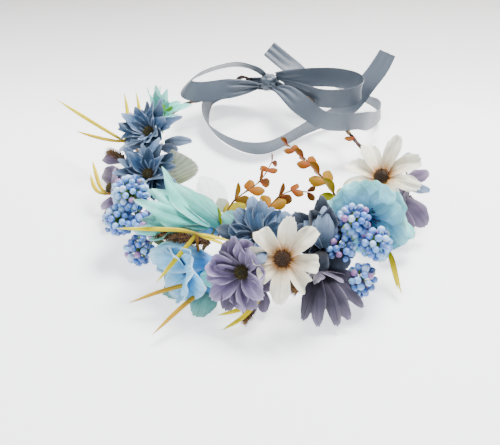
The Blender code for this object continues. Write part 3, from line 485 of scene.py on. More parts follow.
def turned(profile, sides=20, **values):
    """A solid of revolution about z from a profile of (radius, height) rows, from top to bottom."""
    profile = np.asarray(profile, float)
    turn = np.arange(sides) * 2 * math.pi / sides
    ring = np.column_stack([np.cos(turn), np.sin(turn)])
    heights = np.broadcast_to(profile[:, None, 1:], (len(profile), sides, 1))
    points = np.concatenate([profile[:, None, :1] * ring, heights], 2)
    last = (len(profile) - 1) * sides
    faces = grid_quads(len(profile), sides, wrap=True).tolist()
    faces += [list(range(sides)), list(range(last, last + sides))[::-1]]
    share = np.repeat(np.linspace(0, 1, len(profile)), sides)
    made = {"along": share}
    made.update({name: np.full(len(share), float(value)) for name, value in values.items()})
    return points.reshape(-1, 3), faces, made


def together(*shapes):
    """Several shapes as one. A value that one of them lacks is 0 there."""
    names = sorted({name for shape in shapes for name in shape[2]})
    points, faces, count = [], [], 0
    made = {name: [] for name in names}
    for some, their_faces, values in shapes:
        faces += [[index + count for index in face] for face in their_faces]
        points.append(some)
        count += len(some)
        for name in names:
            made[name].append(values.get(name, np.zeros(len(some))))
    return np.vstack(points), faces, {name: np.concatenate(value) for name, value in made.items()}


def make(name, shape, finish, replaces=(), sharp=50):
    """Makes a shape an object that rides on the crown, and hides the frame's nodes that it stands for."""
    points, faces, values = shape
    mesh = bpy.data.meshes.new(name)
    mesh.from_pydata((points * MM).tolist(), [], faces)
    for value_name, value in values.items():
        attribute = mesh.attributes.new(value_name, "FLOAT", "POINT")
        attribute.data.foreach_set("value", np.ascontiguousarray(value, np.float32))
    mesh.materials.append(finish)
    mesh.shade_smooth()
    mesh.set_sharp_from_angle(angle=math.radians(sharp))
    piece = bpy.data.objects.new(name, mesh)
    bpy.context.scene.collection.objects.link(piece)
    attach(piece, BODY)
    if replaces:
        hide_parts(*replaces)
    return piece


# Room for each blossom and cluster

class Room:
    """The space that one piece may fill: a middle point, and flat walls between it and its neighbours."""

    def __init__(self, start, end, share):
        """Start and end are the ends of the piece's own line. Share is its reach from that line."""
        self.line = np.array([start, end])
        self.share = share
        self.middle = self.line.mean(axis=0)
        self.at = []
        self.inward = []

    def wall(self, point, inward):
        """Adds a flat wall through a point. Inward is its unit normal, towards the middle."""
        self.at.append(point)
        self.inward.append(inward)

    def fit(self, points, margin=0.0):
        """Draws points in towards the middle where they near a wall, so that none passes it."""
        shape = points.shape
        points = points.reshape(-1, 3)
        inward = np.array(self.inward)
        depth = ((self.middle - np.array(self.at)) * inward).sum(axis=1) - margin
        offset = points - self.middle
        reach = np.maximum(np.linalg.norm(offset, axis=1), 1e-9)
        way = offset / reach[:, None]
        closing = -way @ inward.T
        limit = np.where(closing > 1e-6, depth / np.maximum(closing, 1e-6), 1e6).min(axis=1)
        share = reach / limit
        bend = 1 - FREE_SHARE
        eased = np.where(share > FREE_SHARE, 1 - bend * np.exp((FREE_SHARE - share) / bend), share)
        return (self.middle + way * (eased * limit)[:, None]).reshape(shape)


def closest(first, second):
    """The nearest points of two straight lines."""
    steps = np.linspace(0, 1, 41)[:, None]
    p = first[0] + (first[1] - first[0]) * steps
    q = second[0] + (second[1] - second[0]) * steps
    i, j = divmod(int(np.linalg.norm(p[:, None] - q[None], axis=2).argmin()), len(steps))
    return p[i], q[j]


def ring_line():
    """The middle of the wire, round the ring without its eyes."""
    return smooth([place(angle, out, RING_HEIGHT) for angle, out in WIRE_ROUTE], 400)


def part_rooms():
    """A room for each blossom, cluster, spike and leaf, walled off from what lies around it."""
    rooms = {}
    for name, kind, _, at, way, radius, share, *_ in BLOSSOMS:
        centre, forward = place(*at), towards(*way)
        rooms[name] = Room(centre, centre + forward * radius * AHEAD.get(kind, 0.1), share)
    for name, at, outer, _ in BERRY_CLUSTERS:
        rooms[name] = Room(place(*at), place(*at), outer)
    for name, foot, tip, fat, _ in SPIKES:
        rooms[name] = Room(place(*foot), place(*tip), SPIKE_ROOM * fat)
    rooms["serrated_leaf"] = Room(place(*SERRATED_LEAF[0]), place(*SERRATED_LEAF[1]), LEAF_ROOM)
    wire = ring_line()
    names = list(rooms)
    for index, name in enumerate(names):
        room = rooms[name]
        for other in (rooms[key] for key in names[index + 1:]):
            p, q = closest(room.line, other.line)
            apart = np.linalg.norm(q - p)
            way = (q - p) / apart
            share = (apart**2 + room.share**2 - other.share**2) / (2 * apart)
            room.wall(p + way * (share - BETWEEN_ROOMS / 2), -way)
            other.wall(p + way * (share + BETWEEN_ROOMS / 2), way)
        room.wall(np.array([0, 0, TABLE]), UP)
        near = wire[np.linalg.norm(wire - room.middle, axis=1).argmin()]
        away = room.middle - near
        radial = unit(near * [1, 1, 0])
        inward = unit(radial * max(away @ radial, 0) + UP * away[2])
        room.wall(near + inward * (SLEEVE + GAP), inward)
    return rooms


# Materials

class Finish:
    """A node-based material. Each method adds one node and returns its output socket."""

    def __init__(self, name):
        """Starts from a plain material's own shader."""
        self.material = bpy.data.materials.new(name)
        self.material.use_nodes = True
        self.tree = self.material.node_tree
        self.shader = self.tree.nodes["Principled BSDF"]

    def put(self, socket, value):
        """Links a socket to an input, or writes a plain value or colour there."""
        if isinstance(value, bpy.types.NodeSocket):
            self.tree.links.new(value, socket)
        elif isinstance(value, (tuple, list)) and len(value) == 3 and socket.type == "RGBA":
            socket.default_value = (*value, 1)
        else:
            socket.default_value = value

    def node(self, kind, inputs, out=0, **settings):
        """Any node, with its inputs and settings by name."""
        made = self.tree.nodes.new(kind)
        for name, value in settings.items():
            setattr(made, name, value)
        for name, value in inputs.items():
            self.put(made.inputs[name], value)
        return made.outputs[out]

    def value(self, name):
        """A value that the mesh carries at its points."""
        return self.node("ShaderNodeAttribute", {}, "Fac", attribute_name=name)

    def place(self, stretch=(1, 1, 1)):
        """The object's own coordinates, stretched."""
        at = self.node("ShaderNodeTexCoord", {}, "Object")
        return self.node("ShaderNodeMapping", {"Vector": at, "Scale": stretch}, 0)

    def noise(self, scale, detail=3.0, stretch=(1, 1, 1), rough=0.5):
        """Noise over the object's own coordinates."""
        return self.node("ShaderNodeTexNoise", {
            "Vector": self.place(stretch), "Scale": scale, "Detail": detail, "Roughness": rough})

    def math(self, operation, a, b=0.0, clamp=False):
        """One operation on two numbers."""
        return self.node("ShaderNodeMath", {0: a, 1: b}, operation=operation, use_clamp=clamp)

    def span(self, value, low, high, to_low=0.0, to_high=1.0):
        """The value, moved from one range to another and kept within it."""
        return self.node("ShaderNodeMapRange", {
            "Value": value, "From Min": low, "From Max": high, "To Min": to_low, "To Max": to_high})

    def mix(self, factor, a, b, blend="MIX"):
        """Two colours mixed."""
        made = self.tree.nodes.new("ShaderNodeMix")
        made.data_type = "RGBA"
        made.blend_type = blend
        self.put(made.inputs["Factor"], factor)
        self.put(made.inputs["A"], a)
        self.put(made.inputs["B"], b)
        return made.outputs["Result"]

    def ramp(self, factor, stops):
        """A colour ramp through the stops."""
        made = self.tree.nodes.new("ShaderNodeValToRGB")
        elements = made.color_ramp.elements
        while len(elements) < len(stops):
            elements.new(0.5)
        for element, (at, colour) in zip(elements, stops):
            element.position = at
            element.color = (*colour, 1)
        self.put(made.inputs["Fac"], factor)
        return made.outputs["Color"]

    def tinted(self, colour, value, low, high):
        """The colour, its brightness scaled from low to high as value goes from 0 to 1."""
        value = self.span(value, 0, 1, low, high)
        return self.node("ShaderNodeHueSaturation", {"Color": colour, "Value": value})

    def bump(self, height, distance, strength=1.0):
        """A normal roughened by a height."""
        return self.node("ShaderNodeBump", {"Height": height, "Distance": distance, "Strength": strength})

    def done(self, **inputs):
        """Writes the shader's inputs, an underscore for each space in a name, and returns the material."""
        for name, value in inputs.items():
            self.put(self.shader.inputs[name.replace("_", " ")], value)
        return self.material


def shade(colour, by):
    """A colour made lighter or darker."""
    return tuple(min(channel * by, 1.0) for channel in colour)


def blended(a, b, share):
    """The colour that lies a share of the way from a to b."""
    return tuple(x + (y - x) * share for x, y in zip(a, b))


def cloth_finish(name, foot, middle, rim, veins=0.3, alpha=1.0, through=0.25, rim_share=0.7,
                 tones=(0.5, 1.45)):
    """Dyed cloth: foot to middle along the petal, a paler rim, veins that run lengthwise, and a weave."""
    finish = Finish(name)
    along, side, tone = finish.value("along"), finish.value("across"), finish.value("tone")
    wide = finish.math("ABSOLUTE", side)
    stops = [(0.12, foot), (0.36, blended(foot, middle, 0.7)), (0.62, middle),
             (1.0, blended(middle, rim, 0.35))]
    colour = finish.tinted(finish.ramp(along, stops), finish.noise(160, 4), 0.66, 1.34)
    lengthwise = finish.node("ShaderNodeCombineXYZ", {
        "X": finish.math("MULTIPLY", side, 7.0), "Y": along, "Z": finish.math("MULTIPLY", tone, 40.0)})
    streak = finish.node("ShaderNodeTexNoise", {"Vector": lengthwise, "Scale": 2.0, "Detail": 4.0})
    colour = finish.tinted(colour, finish.span(streak, 0.3, 0.7), 1 - veins, 1 + veins)
    spine = finish.span(wide, 0.0, 0.12)
    colour = finish.tinted(colour, spine, 0.8, 1.0)
    edge = finish.math("MAXIMUM", finish.math("POWER", wide, 9), finish.math("POWER", along, 22))
    ragged = finish.math("MULTIPLY", edge, finish.span(finish.noise(300, 3), 0.3, 0.7, 0.4, 1.0), clamp=True)
    colour = finish.mix(finish.math("MULTIPLY", ragged, rim_share), colour, rim)
    colour = finish.tinted(colour, tone, *tones)
    height = finish.math("ADD", streak, finish.math("MULTIPLY", finish.noise(2600, 2), 0.3))
    return finish.done(
        Base_Color=colour, Roughness=0.7, Normal=finish.bump(height, 0.0006, 0.6), Alpha=alpha,
        Subsurface_Weight=through, Subsurface_Radius=(1.0, 1.0, 1.0), Subsurface_Scale=0.0012,
        Sheen_Weight=0.2, Sheen_Roughness=0.5, Specular_IOR_Level=0.25)


def plain_finish(name, stops, grain=300, roughness=0.6, low=0.7, high=1.25, bump=0.0002, **inputs):
    """A moulded or flocked surface coloured along its length, with mottling and grain."""
    finish = Finish(name)
    colour = finish.ramp(finish.value("along"), stops)
    colour = finish.tinted(colour, finish.noise(grain, 4), low, high)
    colour = finish.tinted(colour, finish.value("tone"), 0.75, 1.3)
    rough = finish.span(finish.noise(grain * 2, 3), 0.3, 0.7, roughness - 0.1, roughness + 0.1)
    skin = finish.bump(finish.noise(grain * 4, 3), bump)
    return finish.done(Base_Color=colour, Roughness=rough, Normal=skin, **inputs)


def make_finishes():
    """Every material, by the name of its cloth, centre or piece."""
    c = colours()
    dusty, lavender, slate, ink = (tuple(value) for value in (c.dusty, c.lavender, c.slate, c.ink))
    cream, mint, sky, mauve = (tuple(value) for value in (c.cream, c.mint, c.sky, c.mauve))
    pale = (0.34, 0.44, 0.62)
    return {
        "dusty": cloth_finish("dusty_cloth", shade(dusty, 0.3), dusty, pale, 0.3, rim_share=0.9),
        "steel": cloth_finish("steel_cloth", shade(dusty, 0.5), blended(dusty, pale, 0.35), pale, 0.3),
        "pale": cloth_finish("pale_blue_cloth", dusty, blended(dusty, pale, 0.8), (0.5, 0.6, 0.78), 0.3),
        "lavender": cloth_finish("lavender_cloth", shade(lavender, 0.3), lavender, (0.52, 0.46, 0.66), 0.25),
        "slate": cloth_finish("slate_cloth", shade(slate, 0.6), slate, (0.34, 0.30, 0.42), 0.25,
                              rim_share=0.8),
        # Painted shade: the ink cloth serves real navy petals, and dusty blue petals that lie in shade.
        "ink": cloth_finish("ink_and_shade_cloth", shade(ink, 0.4), ink, (0.20, 0.25, 0.34), 0.3, rim_share=0.8),
        "cream": cloth_finish("cream_cloth", (0.50, 0.20, 0.01), cream, (1.0, 0.99, 0.94), 0.08,
                              rim_share=0.4, tones=(0.9, 1.2)),
        "mint": cloth_finish("mint_cloth", (0.04, 0.36, 0.36), mint, (0.50, 0.90, 0.84), 0.2, 0.78, 0.4),
        "veil": cloth_finish("veil_cloth", (0.5, 0.75, 0.7), (0.78, 0.9, 0.88), (0.9, 0.96, 0.95), 0.1,
                             0.3, 0.4),
        # Painted shade: a darker copy of the mint cloth, for mint petals in shade.
        "teal": cloth_finish("teal_and_shade_cloth", (0.03, 0.20, 0.19), (0.09, 0.38, 0.36), (0.3, 0.62, 0.58), 0.2,
                             0.85, 0.3),
        "sky": cloth_finish("sky_cloth", (0.04, 0.22, 0.62), sky, (0.66, 0.86, 0.96), 0.14, 0.88, 0.4),
        "deep": cloth_finish("deep_blue_cloth", (0.02, 0.14, 0.45), (0.07, 0.30, 0.68), sky, 0.14, 0.92, 0.4),
        "poppy": cloth_finish("poppy_cloth", (0.10, 0.50, 1.0), (0.26, 0.76, 0.98), (0.36, 0.92, 0.74), 0.1,
                              0.92, 0.5, rim_share=0.9, tones=(0.75, 1.25)),
        "mauve": cloth_finish("mauve_cloth", shade(mauve, 0.5), mauve, (0.40, 0.34, 0.46), 0.3),
        "olive": plain_finish("heart_olive", [(0, (0.012, 0.012, 0.004)), (1, (0.10, 0.075, 0.012))],
                              600, 0.8),
        "umber": plain_finish("heart_brown", [(0, (0.012, 0.005, 0.002)), (1, (0.10, 0.04, 0.006))],
                              600, 0.8),
        "navy": plain_finish("heart_navy", [(0, (0.03, 0.08, 0.16)), (1, (0.012, 0.012, 0.04))], 600, 0.6),
        "stem": plain_finish("stem_green", [(0, (0.05, 0.09, 0.02)), (1, (0.10, 0.06, 0.02))], 400, 0.7),
    }


# Blossoms

def petal_grid(spec, radius, layer, rng):
    """One layer of petals facing z, as grids of points with the values along, across and tone.

    Along a petal the slope changes evenly from foot to tip, so its middle is an arc. Its half width grows
    from the foot as a sine of the length, its sides stop short of the tip by a power of how far out they
    are, and across it there is a cup that goes with the square, cosine ribs, and a slow sine wave.
    """
    count = spec["count"]

    def vary(amount):
        return rng.uniform(-amount, amount, (count, 1, 1))

    t = np.linspace(0, 1, spec["rows"])[None, :, None]
    s = np.linspace(-1, 1, spec["columns"])[None, None, :]
    lift_up = layer * 9
    length = radius * (1 + vary(0.09)) * (1 - 0.10 * layer) - spec["hollow"]
    rise = spec["foot"] + (1 - spec["foot"]) * np.sin(math.pi * spec["bulge"] * t**0.85)
    half = radius * spec["half"] * (1 + vary(0.08)) * rise
    notch = spec["notch"] * np.cos((5 + 2 * layer) * math.pi * s + vary(3)) * t**4
    reach = t * (1 - spec["point"] * np.abs(s) ** spec["power"] * t**1.5 + notch)
    start = np.radians(spec["slope"][0] + lift_up + vary(9))
    change = np.radians(spec["slope"][1] - spec["slope"][0] + vary(22)) + 1e-4
    slope = start + change * reach
    out = spec["hollow"] + length * (np.sin(slope) - np.sin(start)) / change
    height = length * (np.cos(start) - np.cos(slope)) / change
    lift = spec["cup"] * (1 + vary(0.5)) * half * s**2
    ribs = spec["rib"] * np.cos(spec["ribs"] * math.pi * s)
    lift = lift + ribs * np.sin(math.pi * np.clip(t, 0, 0.9)) * (1 - s**4)
    lift = lift + spec["wave"] * half * np.sin(2.4 * s + vary(3)) * t**2
    lift = lift + vary(0.4) * s * half * t
    lift = lift + 0.05 * half * np.sin(9 * t + 5 * s + vary(3)) + 0.1 * half * np.sin(7 * s + vary(3)) * t**3
    side = s * half
    radial = out - lift * np.sin(slope)
    up = height + lift * np.cos(slope) + 0.5 * layer
    turn = 2 * math.pi * (np.arange(count)[:, None, None] + 0.5 * layer) / count + vary(0.07)
    x = radial * np.cos(turn) - side * np.sin(turn)
    y = radial * np.sin(turn) + side * np.cos(turn)
    tone = np.broadcast_to(0.5 + vary(0.5), reach.shape)
    return np.stack([x, y, up], -1), reach, np.broadcast_to(s, reach.shape), tone


def blossom_petals(kind, radius, rng):
    """All layers of a blossom's petals, as one stack of grids."""
    spec = KINDS[kind]
    layers = [petal_grid(spec, radius, layer, rng) for layer in range(spec["layers"])]
    return [np.concatenate(parts) for parts in zip(*layers)]


def fibonacci(count):
    """Points spread evenly over a ball of radius 1."""
    z = 1 - (2 * np.arange(count) + 1) / count
    turn = np.arange(count) * math.pi * (3 - math.sqrt(5))
    ring = np.sqrt(1 - z * z)
    return np.column_stack([ring * np.cos(turn), ring * np.sin(turn), z])


def heart_shape(kind, base, rng):
    """A blossom's centre: a dome with pegs all over it, standing at a height of base."""
    button, tall = BUTTONS[kind]
    arc = np.linspace(0.02, math.pi / 2, 7)
    dome = np.column_stack([button * np.sin(arc), base + tall * np.cos(arc)])
    under = np.array([[button * 0.8, base - 0.5], [STEM_RADIUS, base - 0.9], [STEM_RADIUS, -1.5]])
    spots = fibonacci(int(26 * button**1.3))
    spots = spots[spots[:, 2] > 0.02]
    size = np.array([button, button, tall])
    roots = spots * size * 0.9 + [0, 0, base]
    out = spots + rng.uniform(-0.25, 0.25, spots.shape)
    tips = roots + unit(out + [0, 0, 0.5]) * rng.uniform(0.9, 1.7, (len(spots), 1))
    pegs = cones(roots, tips, 0.34, 0.55, tone=rng.uniform(0, 1, len(spots)))
    parts = [turned(np.vstack([dome, under]), 16, tone=0.2), pegs]
    if kind == "poppy":
        turn = np.arange(26) * 2.4
        lean = 0.35 + 0.35 * rng.uniform(0, 1, 26)
        way = np.column_stack([np.cos(turn) * np.sin(lean), np.sin(turn) * np.sin(lean), np.cos(lean)])
        foot = way * [2, 2, 0] + [0, 0, base + 0.5]
        head = foot + way * rng.uniform(8, 13, (26, 1))
        parts.append(cones(foot, head, 0.22, 0.8, tone=np.full(26, 0.2)))
        parts.append(cones(head - way * 0.6, head + way * 1.4, 0.55, 0.8, tone=np.full(26, 0.1)))
    return together(*parts)


def stem_shape(foot):
    """The stem from under a blossom's neck to the wire at foot, bent in one elbow."""
    elbow = np.array([0, 0, -NECK_LENGTH])
    line = smooth(np.array([[0, 0, -1.2], elbow * 0.8, elbow + unit(foot - elbow) * 1.2, foot]), 12)
    return tube(line, STEM_RADIUS, 8, tone=0.5)


def loose_petal(foot, tip, width, rng):
    """One petal from foot to tip, as a grid: an arc bowed to the side that it shows, cupped and waved."""
    t = np.linspace(0, 1, 17)[:, None]
    s = np.linspace(-1, 1, 13)[None, :]
    ahead = tip - foot
    length = np.linalg.norm(ahead)
    shown = unit(UP * 0.8 + np.array([0, -0.5, 0]) + rng.uniform(-0.25, 0.25, 3))
    shown = unit(shown - unit(ahead) * (shown @ unit(ahead)))
    wide = np.cross(unit(ahead), shown)
    half = width / 2 * (0.3 + 0.7 * np.sin(math.pi * 0.66 * t**0.85))
    notch = 0.02 * np.cos(5 * math.pi * s + rng.uniform(0, 6)) * t**4
    reach = t * (1 - 0.36 * np.abs(s) ** 2.2 * t**1.5 + notch)
    lift = 0.16 * length * np.sin(math.pi * reach * 0.9) - 0.3 * half * s**2
    lift = lift + 0.12 * half * np.sin(5 * s + rng.uniform(0, 6)) * t
    lift = lift + 0.3 * rng.uniform(-1, 1) * s * half * t
    grid = foot + ahead * reach[..., None] + wide * (s * half)[..., None] + shown * lift[..., None]
    return grid, reach, np.broadcast_to(s, reach.shape), np.full(reach.shape, rng.uniform(0.1, 0.9))


def make_loose_petals(finishes):
    """The petals that stand away from their flower, one object for each cloth."""
    for cloth in dict.fromkeys(row[0] for row in LOOSE):
        rng = np.random.default_rng(700 + len(cloth))
        made = [loose_petal(place(*foot), place(*tip), width, rng)
                for kind, foot, tip, width in LOOSE if kind == cloth]
        middle, along, side, tone = (np.stack(part) for part in zip(*made))
        middle[..., 2] = np.maximum(middle[..., 2], 1.0)
        shape = sheets(middle, sizes().cloth / MM, along=along, across=side, tone=tone)
        make(f"loose_{cloth}_petals", shape, finishes[cloth], sharp=70)


def make_blossoms(finishes):
    """Each blossom's whorl, its centre and a stem that runs back to the nearest part of the wire."""
    rooms = part_rooms()
    wire = ring_line()
    for index, (name, _, kind, at, way, radius, _, cloth, heart) in enumerate(BLOSSOMS):
        rng = np.random.default_rng(100 + index)
        centre, forward = place(*at), towards(*way)
        turn = facing(forward)
        grid, along, side, tone = blossom_petals(kind, radius, rng)
        middle = rooms[name].fit(centre + grid @ turn.T, 0.2)
        shape = sheets(middle, sizes().cloth / MM, along=along, across=side, tone=tone)
        make(name + "_petals", shape, finishes[cloth], [name], sharp=70)
        button = BUTTONS[kind][0]
        near = np.linalg.norm(grid[..., :2], axis=-1) < button + 0.6
        base = max(float(grid[..., 2][near].max()), 0.0) * 0.55 + 0.4
        points, faces, values = heart_shape(kind, base, rng)
        fitted = rooms[name].fit(centre + points @ turn.T, 0.1)
        nearest = wire[np.linalg.norm(wire - centre, axis=1).argmin()]
        stem, stem_faces, stem_values = stem_shape((nearest - centre) @ turn)
        make(name + "_heart", (fitted, faces, values), finishes[heart],
             [name + "_centre"])
        stem_shaped = (centre + stem @ turn.T, stem_faces, stem_values)
        make(name + "_stem", stem_shaped, finishes["stem"])


# Berries, bristles and leaves

def ball(subdivisions=2):
    """Unit directions and faces of a subdivided icosahedron."""
    work = bmesh.new()
    bmesh.ops.create_icosphere(work, subdivisions=subdivisions, radius=1)
    points = np.array([vert.co for vert in work.verts])
    faces = np.array([[vert.index for vert in face.verts] for face in work.faces])
    work.free()
    return points, faces


def berry_finish():
    """Foam berries: blue, some paler, some violet, with a frosted skin."""
    finish = Finish("berry_skin")
    blue = tuple(colours().berry)
    tone = finish.value("tone")
    colour = finish.ramp(tone, [
        (0.0, shade(blue, 0.4)), (0.35, blue), (0.65, (0.20, 0.44, 0.86)),
        (0.89, (0.48, 0.68, 0.95)), (0.9, (0.26, 0.10, 0.34)), (1.0, (0.42, 0.20, 0.46))])
    frost = finish.noise(900, 4)
    colour = finish.mix(finish.span(frost, 0.5, 0.75, 0, 0.5), colour, (0.75, 0.84, 0.96))
    colour = finish.tinted(colour, finish.noise(120, 2), 0.85, 1.15)
    skin = finish.bump(finish.noise(1400, 3), 0.0002, 0.5)
    return finish.done(Base_Color=colour, Roughness=0.42, Normal=skin,
                       Subsurface_Weight=0.2, Subsurface_Scale=0.001, Coat_Weight=0.25, Coat_Roughness=0.35)


def make_berries(finishes):
    """Balls spread evenly over a stretched sphere, each on a cone-shaped stalk, with dry buds between."""
    rooms = part_rooms()
    rays, faces = ball()
    radius = sizes().berry / MM / 2
    skin = berry_finish()
    for index, (name, at, outer, stretch) in enumerate(BERRY_CLUSTERS):
        rng = np.random.default_rng(200 + index)
        centre = place(*at)
        shell = outer - radius
        outside = fibonacci(round(4 * math.pi * shell**2 / AREA_PER_BERRY)) * [1, 1, stretch] * shell
        spots = outside + rng.uniform(-0.5, 0.5, outside.shape)
        spots = rooms[name].fit(centre + spots * 1.04, radius * 0.85)
        size = radius * rng.uniform(0.86, 1.04, len(spots))
        points = spots[:, None] + rays * size[:, None, None]
        ids = faces + (np.arange(len(spots)) * len(rays))[:, None, None]
        tone = np.repeat(rng.uniform(0, 1, len(spots)), len(rays))
        make(name + "_balls", (points.reshape(-1, 3), ids.reshape(-1, 3).tolist(), {"tone": tone}), skin,
             [name])
        tones = rng.uniform(0, 1, len(spots))
        stalks = cones(np.broadcast_to(centre, spots.shape), spots, 0.45, 0.8, tone=tones)
        out = unit(spots - centre)
        bits = out[::4] + rng.uniform(-0.5, 0.5, out[::4].shape)
        foot = spots[::4] + np.cross(out[::4], UP) * radius * 0.8
        buds = cones(foot, foot + unit(bits) * 2.4, 0.75, 0.35, tone=np.full(len(foot), 1.0))
        make(name + "_stalks", together(stalks, buds), finishes["bud"])


def make_spikes():
    """Spindles with straight bristles all round, longest in the middle."""
    rust = tuple(colours().rust)
    finish = plain_finish("bristle", [(0, shade(rust, 0.5)), (0.55, rust), (1, (0.42, 0.22, 0.07))], 900, 0.7)
    rooms = part_rooms()
    for index, (name, foot, tip, fat, count) in enumerate(SPIKES + TUFTS):
        rng = np.random.default_rng(300 + index)
        start, end = place(*foot), place(*tip)
        share = np.linspace(0, 1, 24)
        body = SPIKE_RADIUS * fat * np.sqrt(np.clip(1 - (2 * share - 1) ** 4, 0.02, 1))
        line = start + (end - start) * share[:, None]
        core = tube(line, body * 0.8, 10, tone=0.2)
        where = rng.uniform(0.02, 1, count)
        turn = rng.uniform(0, 2 * math.pi, count)
        level, rising = (side[0] for side in across(unit(end - start)[None]))
        out = np.cos(turn)[:, None] * level + np.sin(turn)[:, None] * rising
        girth = np.interp(where, share, body)[:, None]
        roots = start + (end - start) * where[:, None] + out * girth * 0.7
        way = unit(out + unit(end - start) * rng.uniform(0.1, 0.9, (count, 1)))
        tips = roots + way * (BRISTLE_LENGTH * rng.uniform(0.7, 1.25, (count, 1)) + girth * 0.3)
        needles = cones(roots, tips, 0.16, 0.35, tone=rng.uniform(0, 1, count))
        points, faces, values = together(core, needles)
        replaced = [name] if name in rooms else []
        points = rooms[name].fit(points) if replaced else points
        make(name + "_bristles", (points, faces, values), finish, replaced)


def make_serrated_leaf(finishes):
    """An oval leaf: width as a sine of the length, teeth as a sawtooth on its edge, and slanting veins."""
    foot, tip, width = SERRATED_LEAF
    start, end = place(*foot), place(*tip)
    t = np.linspace(0, 1, 61)[:, None]
    s = np.linspace(-1, 1, 25)[None, :]
    ahead = end - start
    wide = unit(np.array([1.0, 0.2, 0.5]) - unit(ahead) * (np.array([1.0, 0.2, 0.5]) @ unit(ahead)))
    flat = np.cross(unit(ahead), wide)
    teeth = (t * 17 % 1) * 0.10 * np.abs(s) ** 8
    half = width / 2 * np.sin(np.clip(t, 0.01, 0.99) ** 0.8 * math.pi) ** 0.8 * 1.12
    veins = 0.14 * np.cos(2 * math.pi * (t * 8 - np.abs(s) * 1.6)) * (1 - np.abs(s)) ** 0.5
    lift = 0.28 * half * np.abs(s) ** 1.4 + veins + 3 * np.sin(t * math.pi)
    middle = start + ahead * (t + 0 * s)[..., None] + wide * (s * half * (1 + teeth))[..., None]
    middle = middle + flat * lift[..., None]
    fitted = part_rooms()["serrated_leaf"].fit(middle[None])
    ripple = np.cos(2 * math.pi * (t * 8 - np.abs(s) * 1.6)) * 0.16 + 0.5
    shape = sheets(fitted, 0.4, along=(t + 0 * s)[None], across=(s + 0 * t)[None], tone=ripple[None])
    make("serrated_leaf_blade", shape, finishes["leaf_cloth"], ["serrated_leaf"], sharp=70)


def blade(route, half, wide, cup, columns=7, thickness=0.35, **values):
    """A leaf along a route: half widths, the direction of its width, and how deep it is folded."""
    route = np.asarray(route, float)
    tangents = directions(route)
    wide = unit(wide - (wide * tangents).sum(axis=1, keepdims=True) * tangents)
    flat = np.cross(tangents, wide)
    s = np.linspace(-1, 1, columns)
    half = np.asarray(half, float)[:, None]
    middle = route[:, None] + wide[:, None] * (s * half)[..., None]
    middle = middle + flat[:, None] * (cup * half * s**2)[..., None]
    along = np.broadcast_to(np.linspace(0, 1, len(route))[:, None], middle.shape[:2])
    side = np.broadcast_to(s, middle.shape[:2])
    return sheets(middle[None], thickness, along=along[None], across=side[None],
                  **{name: np.full((1, *middle.shape[:2]), float(value)) for name, value in values.items()})


def make_grass():
    """Blades folded along the middle, tapering to the tip, with a thin stem from each tuft's foot to the
    wire.
    """
    straw = tuple(colours().straw)
    finish = Finish("straw")
    along, side = finish.value("along"), finish.value("across")
    stops = [(0, (0.10, 0.12, 0.02)), (0.2, shade(straw, 0.75)), (0.7, straw), (1, (0.86, 0.84, 0.08))]
    colour = finish.ramp(along, stops)
    spine = finish.span(finish.math("ABSOLUTE", side), 0.0, 0.4, 1, 0)
    colour = finish.mix(finish.math("MULTIPLY", spine, 0.5), colour, (0.30, 0.16, 0.0))
    colour = finish.mix(finish.math("MULTIPLY", finish.value("tone"), 0.75), colour, (0.42, 0.17, 0.03))
    colour = finish.tinted(colour, finish.noise(200, 4, (1, 1, 1)), 0.75, 1.25)
    skin = finish.bump(finish.noise(900, 3), 0.0002)
    straw_finish = finish.done(Base_Color=colour, Roughness=0.6, Normal=skin, Specular_IOR_Level=0.15)
    wire = ring_line()
    for name, at, blades in GRASS:
        foot = place(*at)
        shapes = []
        for number, steps in enumerate(blades):
            route = smooth(foot + np.array(((0, 0, 0),) + steps, float), 34)
            route[:, 2] = np.maximum(route[:, 2], 1.5)
            share = np.linspace(0, 1, len(route))
            swell = 0.35 + 0.65 * np.sin(math.pi * (0.15 + share * 0.62))
            half = sizes().grass / MM / 2 * swell * (1 - share**6)
            sideways = np.cross(directions(route), UP) + UP * 0.3
            brown = BROWN_BLADES.get((name, number), BROWN_TUFTS.get(name, 0.1))
            shapes.append(blade(route, np.maximum(half, 0.12), sideways, 0.75, 5, 0.3, tone=brown))
        near = wire[np.linalg.norm(wire - foot, axis=1).argmin()]
        stem = tube(smooth([foot, foot + (near - foot) * 0.5 - UP, near], 10), 0.9, 8, tone=1.0)
        stem[2]["along"] = stem[2]["along"] * 0
        shapes.append(stem)
        make(name + "_blades", together(*shapes), straw_finish, [name])


def sprig_leaf(root, way, wide, length, width, tone):
    """A round leaf on a short stalk: its width is a sine of its length, and it is cupped."""
    share = np.linspace(0, 1, 13)
    half = width / 2 * np.maximum(np.sin(math.pi * np.clip(share, 0.02, 0.985) ** 1.25) ** 0.62, 0.1)
    droop = UP * -0.12 * length * share[:, None] ** 2
    return blade(root + way * (share * length)[:, None] + droop, half, wide, 0.3, 7, 0.5, tone=tone)


